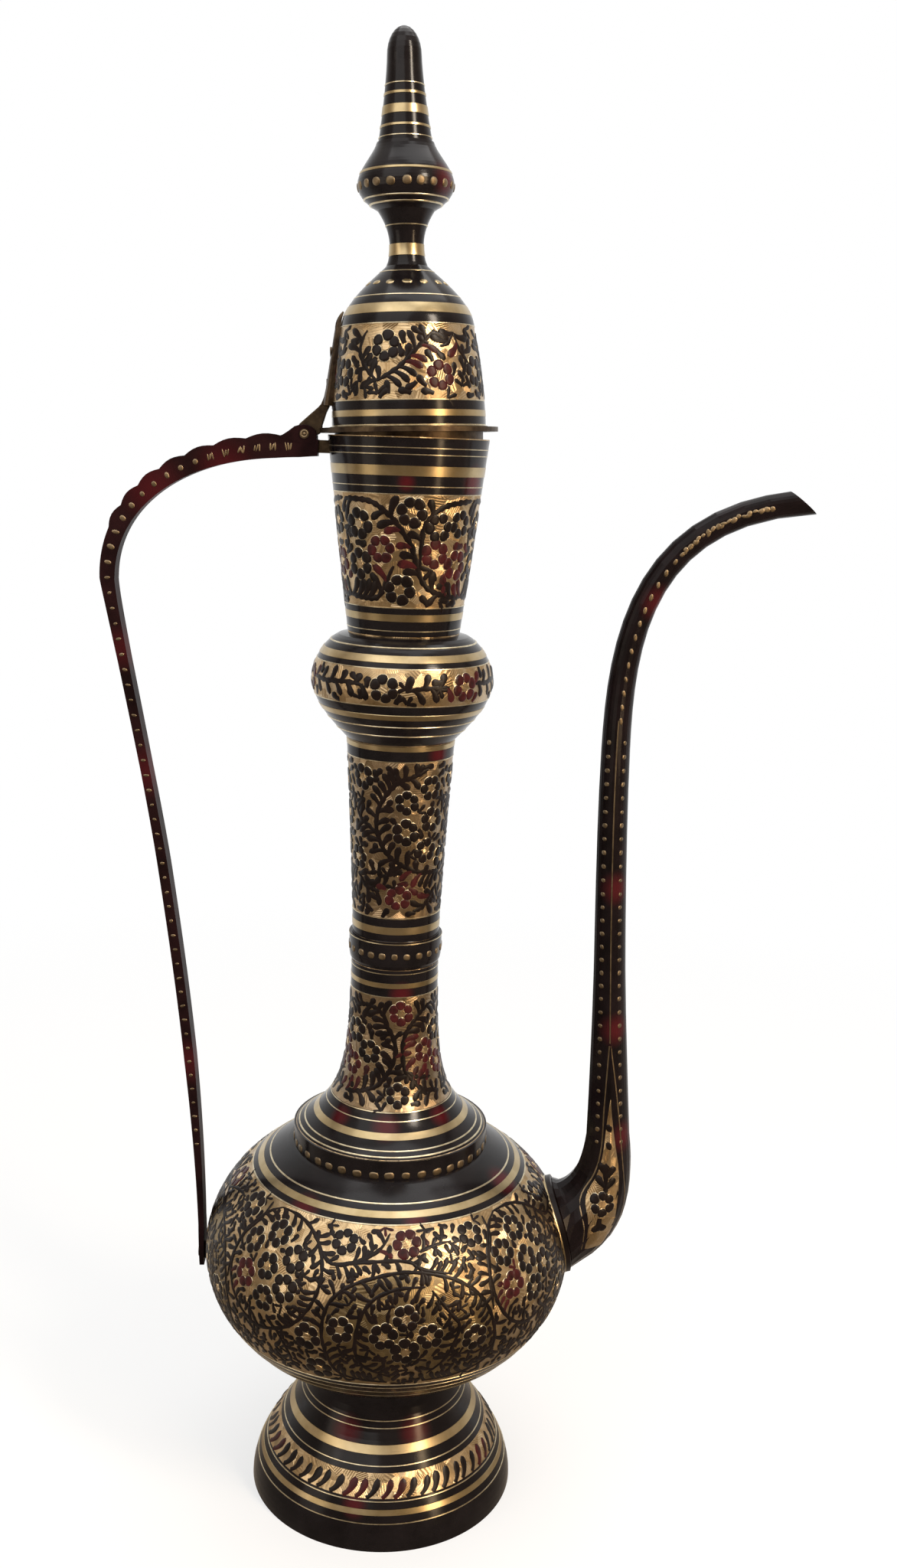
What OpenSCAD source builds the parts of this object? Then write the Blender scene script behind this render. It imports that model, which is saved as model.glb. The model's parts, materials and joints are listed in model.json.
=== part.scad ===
// Lidded surahi ewer in engraved and lacquered brass. A raised bowl stands on a flared foot, and a long
// ringed neck carries a knop and a mouth cup. The lid turns on a pin in the forked end of the handle.
// Millimetres. Z is up from the table, the spout points to +X and the handle to -X.

/* [Foot] */
// Radius of the foot at the table
foot_r = 58; // [54:0.5:62]
// Height of the flared part of the foot
foot_h = 56; // [52:0.5:60]
// Radius of the waist under the bowl
waist_r = 33; // [31:0.5:36]
// Height of the straight waist above the flare
waist_h = 3.3; // [3.2:0.1:6]
// Wall of the foot
foot_wall = 2.4; // [2:0.1:3]

/* [Bowl] */
// Largest radius of the bowl
bowl_r = 79; // [76:0.5:84]
// Half height of the bowl's whole ellipse
bowl_half = 58; // [55:0.5:62]
// Drop of the brazed seam below the widest height
seam_drop = 15; // [14:0.5:17]
// Thickness of the bowl's flat floor
floor_t = 2.4; // [2:0.2:4]
// Radius of the bowl's mouth under the shoulder ring
mouth_r = 43; // [42:0.5:44]
// Sheet of the bowl, neck, knop and cup
wall = 1.6; // [1.3:0.1:2]

/* [Neck] */
// Radius of the dotted ring at the shoulder
ring_r = 41.6; // [41:0.2:43]
// Height of the dotted ring at the shoulder
ring_h = 8.5; // [7:0.5:11]
// Radius of the neck at its middle collar
neck_r = 18.2; // [17:0.2:19.4]
// Height in which the flare above the shoulder falls to a third
flare_k = 13.4; // [12:0.2:15]
// Height of the lower neck
lower_neck_h = 74; // [68:1:82]
// Height of the dotted collar
collar_h = 12; // [10:0.5:14]
// Stand of the dotted collar beyond the neck
collar_out = 1.3; // [0.8:0.1:2]
// Height of the upper neck
upper_neck_h = 83; // [77:1:91]
// Radius of the neck under the knop
neck_top_r = 22.2; // [21:0.2:23.4]

/* [Knop and cup] */
// Largest radius of the knop
knop_r = 36.8; // [35:0.2:39]
// Height of the knop below its widest line
knop_low_h = 24; // [22:0.5:27]
// Height of the knop above its widest line
knop_up_h = 19.2; // [18:0.2:21]
// Radius of the mouth cup at its foot
cup_low_r = 22.6; // [21.8:0.1:23.6]
// Radius of the mouth cup at its rim
cup_rim_r = 32; // [31.4:0.1:32.6]
// Height of the mouth cup
cup_h = 77.1; // [72:0.3:82]

/* [Lid] */
// Angle at which the lid comes to rest on its bent hinge
lid_ajar = 2.3; // [1:0.1:4]
// Gap under the flange when the lid is shut
lid_gap = 0.3; // [0.2:0.1:0.6]
// Radius of the flange
flange_r = 35.2; // [34.6:0.1:36]
// Thickness of the flange
flange_t = 1.8; // [1.4:0.1:2.2]
// Radius of the dome at its base
dome_r = 30.3; // [29.8:0.1:30.8]
// Narrowing of the dome over its side
dome_taper = 4.2; // [3.4:0.1:5]
// Height of the dome's side
dome_side_h = 36.5; // [34:0.5:40]
// Height of the dome's rounded cap
dome_cap_h = 24; // [22:0.5:27]
// Sheet of the lid
lid_wall = 1.4; // [1.2:0.1:1.8]
// Depth of the bezel that goes into the cup
bezel_h = 4; // [3:0.5:6]

/* [Finial] */
// Radius of the dome's flat top
stem_foot_r = 8; // [7.6:0.1:8.8]
// Thinnest radius of the stem
stem_r = 6.6; // [6:0.1:7.2]
// Height of the stem
stem_h = 20.5; // [18:0.5:23]
// Radius of the bead
bead_r = 18.6; // [17.4:0.1:19.6]
// Height of the bead
bead_h = 24.5; // [22:0.5:27]
// Radius of the bead's two ends
bead_end_r = 11; // [10.4:0.1:11.6]
// Radius of the spire under its rounded tip
spire_r = 6.6; // [6:0.1:7.2]
// Height of the spire's side
spire_h = 31; // [28:0.5:34]
// Height of the rounded tip
tip_h = 10.5; // [9:0.5:12]
// Radius of the bolt inside the finial
bolt_r = 2; // [1.6:0.1:2.4]

/* [Hinge] */
// Radius of the hinge pin
pin_r = 1.3; // [1.1:0.1:1.6]
// Radius of the pin's two heads
pin_head_r = 1.9; // [1.8:0.1:2.3]
// Radius of the strap's knuckle
knuckle_r = 3.2; // [3:0.1:3.4]
// Width of the strap's knuckle
knuckle_w = 4; // [3.4:0.2:4.6]
// Running clearance round the pin
pin_gap = 0.06; // [0.03:0.01:0.09]
// Thickness of the strap's leaf on the dome
strap_t = 2.4; // [2:0.1:2.8]
// Half width of the strap's leaf
leaf_half = 5; // [4.4:0.1:6]
// Height of the strap's leaf
leaf_h = 35; // [32:0.5:38]
// Radius of the two strap rivets
strap_rivet_r = 1; // [0.8:0.1:1.2]

/* [Handle] */
// Width of the handle across its fork
handle_w = 9.6; // [9:0.1:11]
// Reach of the handle beyond the hinge
handle_reach = 77.6; // [71:0.2:84]
// Drop of the handle's widest point under the hinge
arch_drop = 58.5; // [54:0.5:62]
// Drop of the handle's middle under the hinge
mid_drop = 180; // [170:1:190]
// Depth of the scallops on the upper edge
scallop = 1.2; // [0:0.1:1.6]
// Drop of the lower rivet under the bowl's widest line
rivet_drop = 6; // [5:0.5:7]
// Radius of the lower rivet
rivet_r = 1.6; // [1.3:0.1:1.9]
// Half width of the handle's lower leaf
tail_half = 6; // [5:0.2:7]

/* [Spout] */
// Radius of the spout at its root
root_r = 19.6; // [18.6:0.2:20.4]
// Stand of the root flange beyond the bowl
root_t = 2.6; // [2:0.1:3.2]
// Rim of the root flange round the spout
root_rim = 1.4; // [1:0.1:2]
// Stand of the bend beyond the bowl
spout_out = 16; // [14:0.5:18]
// Reach of the beak beyond the bowl
spout_reach = 80; // [74:0.5:86]
// Height of the beak above the bowl's widest line
spout_rise = 326; // [317:0.5:335]
// Wall of the spout
spout_wall = 1.5; // [1.3:0.1:1.7]

/* [Hidden] */
$fn = 96;
steps = 20;
fit_gap = 0.15;
seat_gap = 0.1;
cut = 40;

brass = "#b3955d";
lacquer = "#1d1b22";
bronze = "#54442f";
maroon = "#3d2020";

// Heights of the joints, from the table up
waist_share = sqrt(1 - pow(waist_r / bowl_r, 2));
mouth_share = sqrt(1 - pow(mouth_r / bowl_r, 2));
z_floor = foot_h + waist_h;
z_belly = z_floor + bowl_half * waist_share;
z_seam = z_belly - seam_drop;
z_ring = z_belly + bowl_half * mouth_share;
z_neck = z_ring + ring_h;
z_collar = z_neck + lower_neck_h;
z_upper = z_collar + collar_h;
z_knop = z_upper + upper_neck_h;
z_equator = z_knop + knop_low_h;
z_cup = z_equator + knop_up_h;
z_rim = z_cup + cup_h;
z_flange = z_rim + lid_gap;
z_dome = z_flange + flange_t;
z_cap = z_dome + dome_side_h;
z_stem = z_cap + dome_cap_h;
z_bead = z_stem + stem_h;
z_spire = z_bead + bead_h;
z_tip = z_spire + spire_h;

// Angles on the bowl's ellipse at its floor, seam and mouth
a_floor = -acos(waist_r / bowl_r);
a_seam = asin(-seam_drop / bowl_half);
a_mouth = acos(mouth_r / bowl_r);

// The floor's spigot stands in a bore in the foot's top plate
spigot_r = waist_r - 7;
spigot_h = 6;
plate_t = 3;
lip_t = 1.2;
lip_h = 4;

// Hinge axis, and the sizes that follow from it
hinge_x = -flange_r - 5.8;
hinge_z = z_rim;
cheek_r = knuckle_r + 0.2;
slot_w = knuckle_w + 0.4;
end_x = hinge_x + 5.4;
z_leaf = z_dome + 8;
rivet_z = z_belly - rivet_drop;
tail_x = -bowl_r - 2.1;

function flip(p) = [for (i = [len(p) - 1 : -1 : 0]) p[i]];
function unit(v) = v / norm(v);
function bez(p, t) = pow(1 - t, 3) * p[0] + 3 * t * pow(1 - t, 2) * p[1]
    + 3 * t * t * (1 - t) * p[2] + pow(t, 3) * p[3];
function slope(p, t) = unit(bez(p, min(t + 0.01, 1)) - bez(p, max(t - 0.01, 0)));

// Inner line of a wall: points move in along their normals, and both ends stay level
function inner(p, w) = let (n = len(p) - 1) concat(
    [p[0] - [w / max(abs(unit(p[1] - p[0]).y), 0.35), 0]],
    [for (i = [1 : n - 1])
        let (t = unit(p[i + 1] - p[i - 1]), q = p[i] + w * [-t.y, t.x])
        if (q.y > p[0].y + 0.1 && q.y < p[n].y - 0.1) q],
    [p[n] - [w / max(abs(unit(p[n] - p[n - 1]).y), 0.35), 0]]);

// Outlines as radius and height
function bowl_arc(a0, a1, grow, n = steps) = [for (i = [0 : n]) let (a = a0 + (a1 - a0) * i / n)
    [(bowl_r + grow) * cos(a), z_belly + (bowl_half + grow) * sin(a)]];
function bowl_in_r(z) = (bowl_r - wall) * sqrt(1 - pow((z - z_belly) / (bowl_half - wall), 2));
function low_neck_r(z) = neck_r + (ring_r - 0.8 - neck_r) * exp((z_neck - z) / flare_k);
function up_neck_r(z) = neck_r + (neck_top_r - neck_r) * pow((z - z_upper) / upper_neck_h, 1.4);
function cup_r(z) = cup_low_r + (cup_rim_r - cup_low_r) * (z - z_cup) / cup_h;
function dome_side(z) = dome_r - dome_taper * pow((z - z_dome) / dome_side_h, 1.6);
function dome_cap(z) = stem_foot_r
    + (dome_r - dome_taper - stem_foot_r) * cos(90 * (z - z_cap) / dome_cap_h);
function dome_at(z) = z < z_cap ? dome_side(z) : dome_cap(z);
function bead_at(t) = bead_end_r + (bead_r - bead_end_r) * pow(sin(180 * pow(t, 0.72)), 1.3);
function stem_at(t) = t < 0.37 ? stem_r + (stem_foot_r - stem_r) * pow(1 - t / 0.37, 2)
    : stem_r + (bead_end_r - stem_r) * pow((t - 0.37) / 0.63, 2);

// The handle's centre line in X and Z: arch, upper fall and lower fall, with the parameter from 0 to 3
arch_z = hinge_z - arch_drop;
mid_x = hinge_x - 0.718 * handle_reach;
mid_z = hinge_z - mid_drop;
top_x = hinge_x - handle_reach;
handle_line = [
    [[end_x, hinge_z - 5.3], [hinge_x - 0.571 * handle_reach, hinge_z - 2.8],
        [top_x, hinge_z - 0.43 * arch_drop], [top_x, arch_z]],
    [[top_x, arch_z], [top_x, arch_z - 0.103 * arch_drop],
        [mid_x - 0.078 * handle_reach, mid_z + 0.233 * mid_drop], [mid_x, mid_z]],
    [[mid_x, mid_z], [mid_x + 0.091 * handle_reach, mid_z - 0.272 * mid_drop],
        [tail_x - 0.4, z_belly + 0.948 * bowl_half], [tail_x, rivet_z - 5]]];
function handle_at(u) = let (k = min(floor(u), 2)) bez(handle_line[k], u - k);
function handle_dir(u) = let (k = min(floor(u), 2)) slope(handle_line[k], u - k);
function handle_half(u) = lookup(u, [[0, 3.2], [0.05, 4], [0.12, 4.3], [0.3, 3.9], [0.6, 3.6], [1, 3],
    [1.2, 2.5], [1.4, 2.1], [1.7, 1.9], [2, 2.1], [2.5, 2.1], [2.8, 1.4], [3, 1]]);
function scallop_at(u) = u < 0.1 || u > 0.8 ? 0 : scallop * abs(sin(1800 * u));
function side(v) = [-v.y, v.x];

// The spout's centre line in X and Z: root bend, stem and beak, with the parameter from 0 to 3
bend_x = bowl_r + spout_out;
bend_z = z_belly + 0.914 * bowl_half;
stem_x = bowl_r + 0.625 * spout_out;
spout_line = [
    [[0.911 * bowl_r, z_belly + 0.155 * bowl_half], [stem_x, z_belly + 0.233 * bowl_half],
        [bend_x + 1, z_belly + 0.483 * bowl_half], [bend_x, bend_z]],
    [[bend_x, bend_z], [bend_x - 0.125 * spout_out, z_belly + 0.316 * spout_rise],
        [stem_x, z_belly + 0.531 * spout_rise], [stem_x, z_belly + 0.685 * spout_rise]],
    [[stem_x, z_belly + 0.685 * spout_rise], [stem_x, z_belly + 0.811 * spout_rise],
        [stem_x + 0.188 * spout_out, z_belly + 0.978 * spout_rise],
        [bowl_r + spout_reach, z_belly + spout_rise]]];
function spout_at(u) = let (k = min(floor(u), 2)) bez(spout_line[k], u - k);
function spout_dir(u) = let (k = min(floor(u), 2)) slope(spout_line[k], u - k);
function spout_half(u) = lookup(u, [[0, root_r], [0.25, 18], [0.5, 15.2], [0.75, 11.8], [1, 9.4],
    [1.15, 8.4], [1.4, 6.9], [1.6, 6.5], [2, 6], [2.4, 5.5], [3, 5]]);
// Power of the section's curve: 2 is round, and less draws it to ridges at the sides
function spout_power(u) = lookup(u, [[0, 2], [0.5, 1.7], [1, 1.35], [1.8, 1.35], [2.3, 1.7], [3, 2]]);
root_dir = unit(spout_line[0][1] - spout_line[0][0]);
root_tilt = atan2(root_dir.y, root_dir.x);
root_bore = root_r - 3.6;
beak_cut = 1;
corners = 24;
// Power of the knop's upper curve: less makes its top flatter
crown_power = 0.52;

module ring(r_out, r_in, z0, z1) {
    translate([0, 0, z0]) difference() {
        cylinder(r = r_out, h = z1 - z0);
        translate([0, 0, -1]) cylinder(r = r_in, h = z1 - z0 + 2);
    }
}

module shell(p, w) {
    rotate_extrude() polygon(concat(p, flip(inner(p, w))));
}

// A rod along X from x0 to x1
module x_rod(r, x0, x1, z) {
    translate([x0, 0, z]) rotate([0, 90, 0]) cylinder(r = r, h = x1 - x0);
}

// A flat shape in X and Z, spread evenly over a width along Y
module plate(w) {
    rotate([90, 0, 0]) linear_extrude(w, center = true) children();
}

module bowl_solid(grow) {
    rotate_extrude() polygon(bowl_arc(-90, 90, grow, 3 * steps));
}

// A rod along the spout's root axis, from inside the bowl outward
module root_rod(r) {
    translate([spout_line[0][0].x, 0, spout_line[0][0].y]) rotate([0, 90 - root_tilt, 0])
        translate([0, 0, -root_r]) cylinder(r = r, h = 3 * root_r);
}

// Lid pieces are drawn shut and turned about the hinge to stand ajar
module ajar() {
    translate([hinge_x, 0, hinge_z]) rotate([0, -lid_ajar, 0]) translate([-hinge_x, 0, -hinge_z]) children();
}

module foot() {
    flare = [for (i = [0 : steps]) let (share = pow((1 + cos(180 * i / steps)) / 2, 0.92))
        [waist_r + (foot_r - waist_r) * share, foot_h * i / steps]];
    color(lacquer) {
        shell(concat(flare, [[waist_r, z_floor]]), foot_wall);
        ring(waist_r - 0.5, spigot_r + fit_gap, z_floor - plate_t, z_floor);
    }
}

module bowl_lower() {
    z_in = z_floor + floor_t;
    a_in = -acos(bowl_in_r(z_in) / (bowl_r - wall));
    lip_r = bowl_in_r(z_seam) - fit_gap;
    color(brass) {
        rotate_extrude() polygon(concat([[0, z_floor]], bowl_arc(a_floor, a_seam, 0),
            [[bowl_in_r(z_seam), z_seam], [lip_r, z_seam], [lip_r, z_seam + lip_h],
            [lip_r - lip_t, z_seam + lip_h], [bowl_in_r(z_seam - lip_h) - lip_t, z_seam - lip_h]],
            flip([for (p = bowl_arc(a_in, a_seam, -wall)) if (p.y < z_seam - lip_h - 1) p]), [[0, z_in]]));
        ring(spigot_r, spigot_r - 3, z_floor - spigot_h, z_floor);
    }
}

module bowl_upper() {
    inside = [for (p = bowl_arc(a_seam, a_mouth, -wall)) if (p.y > z_seam + 1 && p.y < z_ring - 1) p];
    color(brass) difference() {
        rotate_extrude() polygon(concat(bowl_arc(a_seam, a_mouth, 0), [[bowl_in_r(z_ring), z_ring]],
            flip(inside), [[bowl_in_r(z_seam), z_seam]]));
        root_rod(root_bore);
        x_rod(rivet_r + 0.05, -bowl_r - 5, -bowl_r + 8, rivet_z);
    }
}

module shoulder_ring() {
    in_r = bowl_in_r(z_ring) - fit_gap;
    color(lacquer) {
        ring(ring_r, in_r - 2, z_ring, z_neck);
        ring(in_r, in_r - 2, z_ring - lip_h, z_ring);
    }
}

module lower_neck() {
    color(brass) shell([for (i = [0 : 32]) let (z = z_neck + lower_neck_h * pow(i / 32, 1.7))
        [low_neck_r(z), z]], wall);
}

module neck_collar() {
    sleeve_r = neck_r - wall - fit_gap;
    crown = [for (i = [0 : 8]) let (t = min(i / 4, 1))
        [neck_r + collar_out * sqrt(1 - pow(1 - t, 2)), z_collar + collar_h * i / 8]];
    color(lacquer) {
        rotate_extrude() polygon(concat([[sleeve_r - lip_t, z_collar]], crown,
            [[sleeve_r - lip_t, z_upper]]));
        ring(sleeve_r, sleeve_r - lip_t, z_collar - lip_h, z_upper + lip_h);
    }
}

module upper_neck() {
    color(brass) shell([for (i = [0 : steps]) let (z = z_upper + upper_neck_h * i / steps)
        [up_neck_r(z), z]], wall);
}

module knop_lower() {
    sleeve_r = up_neck_r(z_knop - lip_h) - wall - fit_gap;
    lip_r = cup_low_r + (knop_r - cup_low_r) * pow(cos(90 * 3 / knop_up_h), crown_power) - wall - fit_gap;
    color(lacquer) {
        shell([for (i = [0 : steps]) [neck_top_r + (knop_r - neck_top_r) * sin(90 * i / steps),
            z_knop + knop_low_h * i / steps]], wall);
        ring(sleeve_r, sleeve_r - lip_t, z_knop - lip_h, z_knop + 1);
        ring(lip_r, lip_r - lip_t, z_equator - 2, z_equator + 3);
        ring(knop_r - 0.8, lip_r - lip_t, z_equator - 2, z_equator);
    }
}

module knop_upper() {
    sleeve_r = cup_low_r - wall - fit_gap;
    color(lacquer) {
        shell([for (i = [0 : steps]) let (share = pow(cos(90 * i / steps), crown_power))
            [cup_low_r + (knop_r - cup_low_r) * share, z_equator + knop_up_h * i / steps]], wall);
        ring(sleeve_r, sleeve_r - lip_t, z_cup - 1, z_cup + lip_h);
    }
}

module mouth_cup() {
    color(brass) shell([[cup_low_r, z_cup], [cup_r(z_cup + cup_h / 2), z_cup + cup_h / 2],
        [cup_rim_r, z_rim]], wall);
}

bezel_r = cup_r(z_rim - bezel_h) - wall - 0.6;

module lid_flange() {
    color(bronze) ajar() difference() {
        ring(flange_r, bezel_r - lip_t, z_flange, z_dome);
        translate([-cut - flange_r + 1.6, -slot_w / 2, z_flange - 1]) cube([cut, slot_w, flange_t + 2]);
    }
}

module lid_bezel() {
    color(brass) ajar() ring(bezel_r, bezel_r - lip_t, z_flange - bezel_h, z_flange);
}

module lid_dome() {
    outside = concat(
        [for (i = [0 : 11]) let (z = z_dome + dome_side_h * i / 12) [dome_side(z), z]],
        [for (i = [0 : 14]) let (z = z_cap + dome_cap_h * i / 14) [dome_cap(z), z]]);
    inside = [for (p = inner(outside, lid_wall)) if (p.y < z_stem - 3) p];
    color(brass) ajar() difference() {
        rotate_extrude() polygon(concat(outside, [[bolt_r + fit_gap, z_stem],
            [bolt_r + fit_gap, z_stem - 2.4], [stem_foot_r - 1, z_stem - 2.4]], flip(inside)));
        for (z = rivet_heights) x_rod(strap_rivet_r + 0.05, -dome_r - 5, -dome_r + 12, z);
    }
}

module finial_stem() {
    color(lacquer) ajar() rotate_extrude() polygon(concat(
        [for (i = [0 : 16]) [stem_at(i / 16), z_stem + stem_h * i / 16]],
        [[bolt_r + fit_gap, z_bead], [bolt_r + fit_gap, z_stem]]));
}

module finial_bead() {
    color(lacquer) ajar() rotate_extrude() polygon(concat(
        [for (i = [0 : steps]) [bead_at(i / steps), z_bead + bead_h * i / steps]],
        [[bolt_r + fit_gap, z_spire], [bolt_r + fit_gap, z_bead]]));
}

// The spire is turned solid, with a blind hole for the bolt
bolt_z = z_spire + spire_h * 0.6;

module finial_spire() {
    color(lacquer) ajar() rotate_extrude() polygon(concat(
        [for (i = [0 : 11]) [spire_r + (bead_end_r - 0.6 - spire_r) * pow(1 - i / 12, 1.4),
            z_spire + spire_h * i / 12]],
        [for (i = [0 : 8]) [spire_r * cos(11.25 * i), z_tip + tip_h * sin(11.25 * i)]],
        [[0, bolt_z + 1], [bolt_r + fit_gap, bolt_z + 1], [bolt_r + fit_gap, z_spire]]));
}

washer_t = 1.2;
head_t = 2;

module finial_washer() {
    color(brass) ajar() ring(bolt_r + 2.6, bolt_r + fit_gap, z_stem - 2.4 - washer_t, z_stem - 2.4);
}

module finial_bolt() {
    head_z = z_stem - 2.4 - washer_t;
    color(brass) ajar() {
        translate([0, 0, head_z]) cylinder(r = bolt_r, h = bolt_z - head_z);
        translate([0, 0, head_z - head_t]) cylinder(r = bolt_r + 1.8, h = head_t);
    }
}

// The strap's two rivets, and the flat on the leaf where each head sits
rivet_heights = [z_dome + 17, z_dome + 29];
function spot_x(z) = -dome_side(z) - strap_t + 0.5;

module hinge_strap() {
    outside = [for (i = [0 : 12]) let (z = z_leaf + leaf_h * i / 12) [dome_at(z) + strap_t, z]];
    inside = [for (p = outside) p - [strap_t - seat_gap, 0]];
    leaf = [for (i = [0 : 12]) [leaf_half * pow(cos(7.2 * i), 0.8), z_leaf + leaf_h * i / 12]];
    color(bronze) ajar() difference() {
        union() {
            intersection() {
                rotate_extrude() polygon(concat(outside, flip(inside)));
                rotate([90, 0, -90]) linear_extrude(cut) polygon(concat(leaf,
                    [for (p = flip(leaf)) [-p.x, p.y]]));
            }
            translate([hinge_x, 0, hinge_z]) plate(knuckle_w) {
                circle(knuckle_r);
                polygon([[-2.2, 2.3], [6.4, 11.2],
                    [-dome_side(z_leaf + 5) - hinge_x - 1, z_leaf + 5 - hinge_z],
                    [-dome_side(z_leaf + 2) - hinge_x - 1, z_leaf + 2 - hinge_z], [6.8, flange_t + 0.6],
                    [6.8, lid_gap], [2.2, -2.2]]);
            }
        }
        translate([hinge_x, 0, hinge_z]) plate(knuckle_w + 2) circle(pin_r + pin_gap);
        for (z = rivet_heights) {
            x_rod(strap_rivet_r + 0.05, -dome_r - 8, -dome_r + 12, z);
            x_rod(strap_rivet_r + 1.1, spot_x(z) - 8, spot_x(z), z);
        }
    }
}

module strap_rivets() {
    color(brass) ajar() for (z = rivet_heights) {
        x_rod(strap_rivet_r, spot_x(z) - 0.5, -dome_side(z) + lid_wall + 0.5, z);
        x_rod(strap_rivet_r + 0.9, spot_x(z) - 1.1, spot_x(z), z);
        x_rod(strap_rivet_r + 0.7, -dome_side(z) + lid_wall + 0.3, -dome_side(z) + lid_wall + 1.1, z);
    }
}

module hinge_pin() {
    head_h = 0.6;
    color(brass) translate([hinge_x, 0, hinge_z]) {
        plate(handle_w) circle(pin_r);
        for (s = [-1, 1]) translate([0, s * (handle_w + head_h) / 2, 0]) plate(head_h) circle(pin_head_r);
    }
}

module cup_lug() {
    tongue_w = slot_w - 2 * fit_gap;
    color(brass) difference() {
        union() {
            translate([end_x + 0.2, -2.6, hinge_z - 7.2]) cube([cut, 5.2, 5]);
            translate([hinge_x + 1.2, -tongue_w / 2, hinge_z - 7.2]) cube([6, tongue_w, 2.9]);
        }
        translate([0, 0, z_cup]) cylinder(r1 = cup_low_r + seat_gap, r2 = cup_rim_r + seat_gap, h = cup_h);
        translate([0, -cut, z_cup]) cube([2 * cut, 2 * cut, cup_h + cut]);
    }
}

module handle() {
    line = [for (i = [0 : 180]) i / 60];
    outer_edge = [for (u = line) handle_at(u) - (handle_half(u) + scallop_at(u)) * side(handle_dir(u))];
    inner_edge = [for (u = line) handle_at(u) + handle_half(u) * side(handle_dir(u))];
    tail_z = rivet_z + 4;
    color(maroon) difference() {
        union() {
            intersection() {
                plate(handle_w) polygon(concat(outer_edge, flip(inner_edge)));
                translate([-2 * bowl_r, -cut, tail_z]) cube([2 * bowl_r, 2 * cut, 2 * z_rim]);
            }
            intersection() {
                plate(2 * tail_half) polygon(concat(outer_edge, flip(inner_edge)));
                translate([0, 0, rivet_z + 5]) rotate([90, 0, -90]) linear_extrude(2 * bowl_r)
                    polygon([for (a = [0 : 10 : 350]) [tail_half * cos(a), 16 * sin(a)]]);
            }
            translate([hinge_x, 0, hinge_z]) plate(handle_w) circle(cheek_r);
            x_rod(3.6, tail_x, tail_x + 4, rivet_z);
        }
        bowl_solid(seat_gap);
        translate([hinge_x, 0, hinge_z]) {
            plate(slot_w) {
                circle(knuckle_r + 0.4);
                polygon([[-2.6, -3.6], [-13.4, 6.4], [-13.4, 14], [14, 14], [14, -2.4], [1, -3.4]]);
                translate([1, -7.4]) square([14, 6]);
            }
            plate(2 * handle_w) circle(pin_r + 0.02);
        }
        x_rod(rivet_r + 0.05, -bowl_r - 8, -bowl_r + 8, rivet_z);
        x_rod(rivet_r + 1.5, tail_x - 12, tail_x - 0.6, rivet_z);
    }
}

module handle_rivet() {
    in_x = -bowl_in_r(rivet_z - rivet_r - 1.2) + 2 * seat_gap;
    color(brass) {
        x_rod(rivet_r, tail_x - 1, in_x + 0.4, rivet_z);
        x_rod(rivet_r + 1.2, tail_x - 1.8, tail_x - 0.6, rivet_z);
        x_rod(rivet_r + 1.2, in_x, in_x + 1, rivet_z);
    }
}

// A point of the spout's section: along the bend's normal, and across in Y
function section(u, a, cut_in) = let (p = spout_power(u), r = spout_half(u) - cut_in,
    s = pow(pow(abs(cos(a)), p) + pow(abs(sin(a)), p), -1 / p)) [r * s * cos(a), r * s * sin(a)];
function spout_point(u, a, cut_in) = let (c = spout_at(u), d = spout_dir(u), q = section(u, a, cut_in),
    lean = u > 2.9 ? -beak_cut * q.x * (u - 2.9) / 0.1 : 0)
    [c.x - d.y * q.x + d.x * lean, q.y, c.y + d.x * q.x + d.y * lean];
// The root's first points run along the root's axis to the flange's outer face
function root_point(a, cut_in) = let (q = spout_point(0, a, cut_in), g = root_t + 2 * seat_gap,
    ra = bowl_r + g, rb = bowl_half + g, dz = q.z - z_belly,
    ka = pow(root_dir.x / ra, 2) + pow(root_dir.y / rb, 2),
    kb = q.x * root_dir.x / (ra * ra) + dz * root_dir.y / (rb * rb),
    kc = (q.x * q.x + q.y * q.y) / (ra * ra) + dz * dz / (rb * rb) - 1,
    t = (-kb + sqrt(kb * kb - ka * kc)) / ka) [q.x + t * root_dir.x, q.y, q.z + t * root_dir.y];

// Sections of the root bend fan out, and start later on its inner side
function bend_u(t, a) = let (start = 0.235 + 0.115 * cos(a)) start + (1 - start) * t;

module spout() {
    line = concat([for (i = [1 : 9]) 1 + i / 9], [for (i = [1 : 15]) 2 + i / 15]);
    turn = [for (j = [0 : corners - 1]) 360 * j / corners];
    rows = len(line) + 14;
    skin = [for (c = [0, spout_wall]) concat([[for (a = turn) root_point(a, c)]],
        [for (i = [0 : 12]) [for (a = turn) spout_point(bend_u(i / 12, a), a, c)]],
        [for (u = line) [for (a = turn) spout_point(u, a, c)]])];
    points = [for (s = skin) for (r = s) each r];
    half = rows * corners;
    outer_faces = [for (k = [0 : rows - 2]) for (j = [0 : corners - 1]) let (a = k * corners + j,
        b = k * corners + (j + 1) % corners) each [[a, b, b + corners], [a, b + corners, a + corners]]];
    inner_faces = [for (f = outer_faces) [f[2] + half, f[1] + half, f[0] + half]];
    root_faces = [for (j = [0 : corners - 1]) let (a = j, b = (j + 1) % corners)
        each [[b, a, a + half], [b, a + half, b + half]]];
    far = half - corners;
    beak_faces = [for (f = root_faces) [f[2] + far, f[1] + far, f[0] + far]];
    color(lacquer) polyhedron(points, concat(outer_faces, inner_faces, root_faces, beak_faces));
}

module spout_flange() {
    color(brass) difference() {
        intersection() {
            bowl_solid(root_t);
            root_rod(root_r + root_rim);
        }
        bowl_solid(seat_gap);
        root_rod(root_bore);
    }
}

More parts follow.
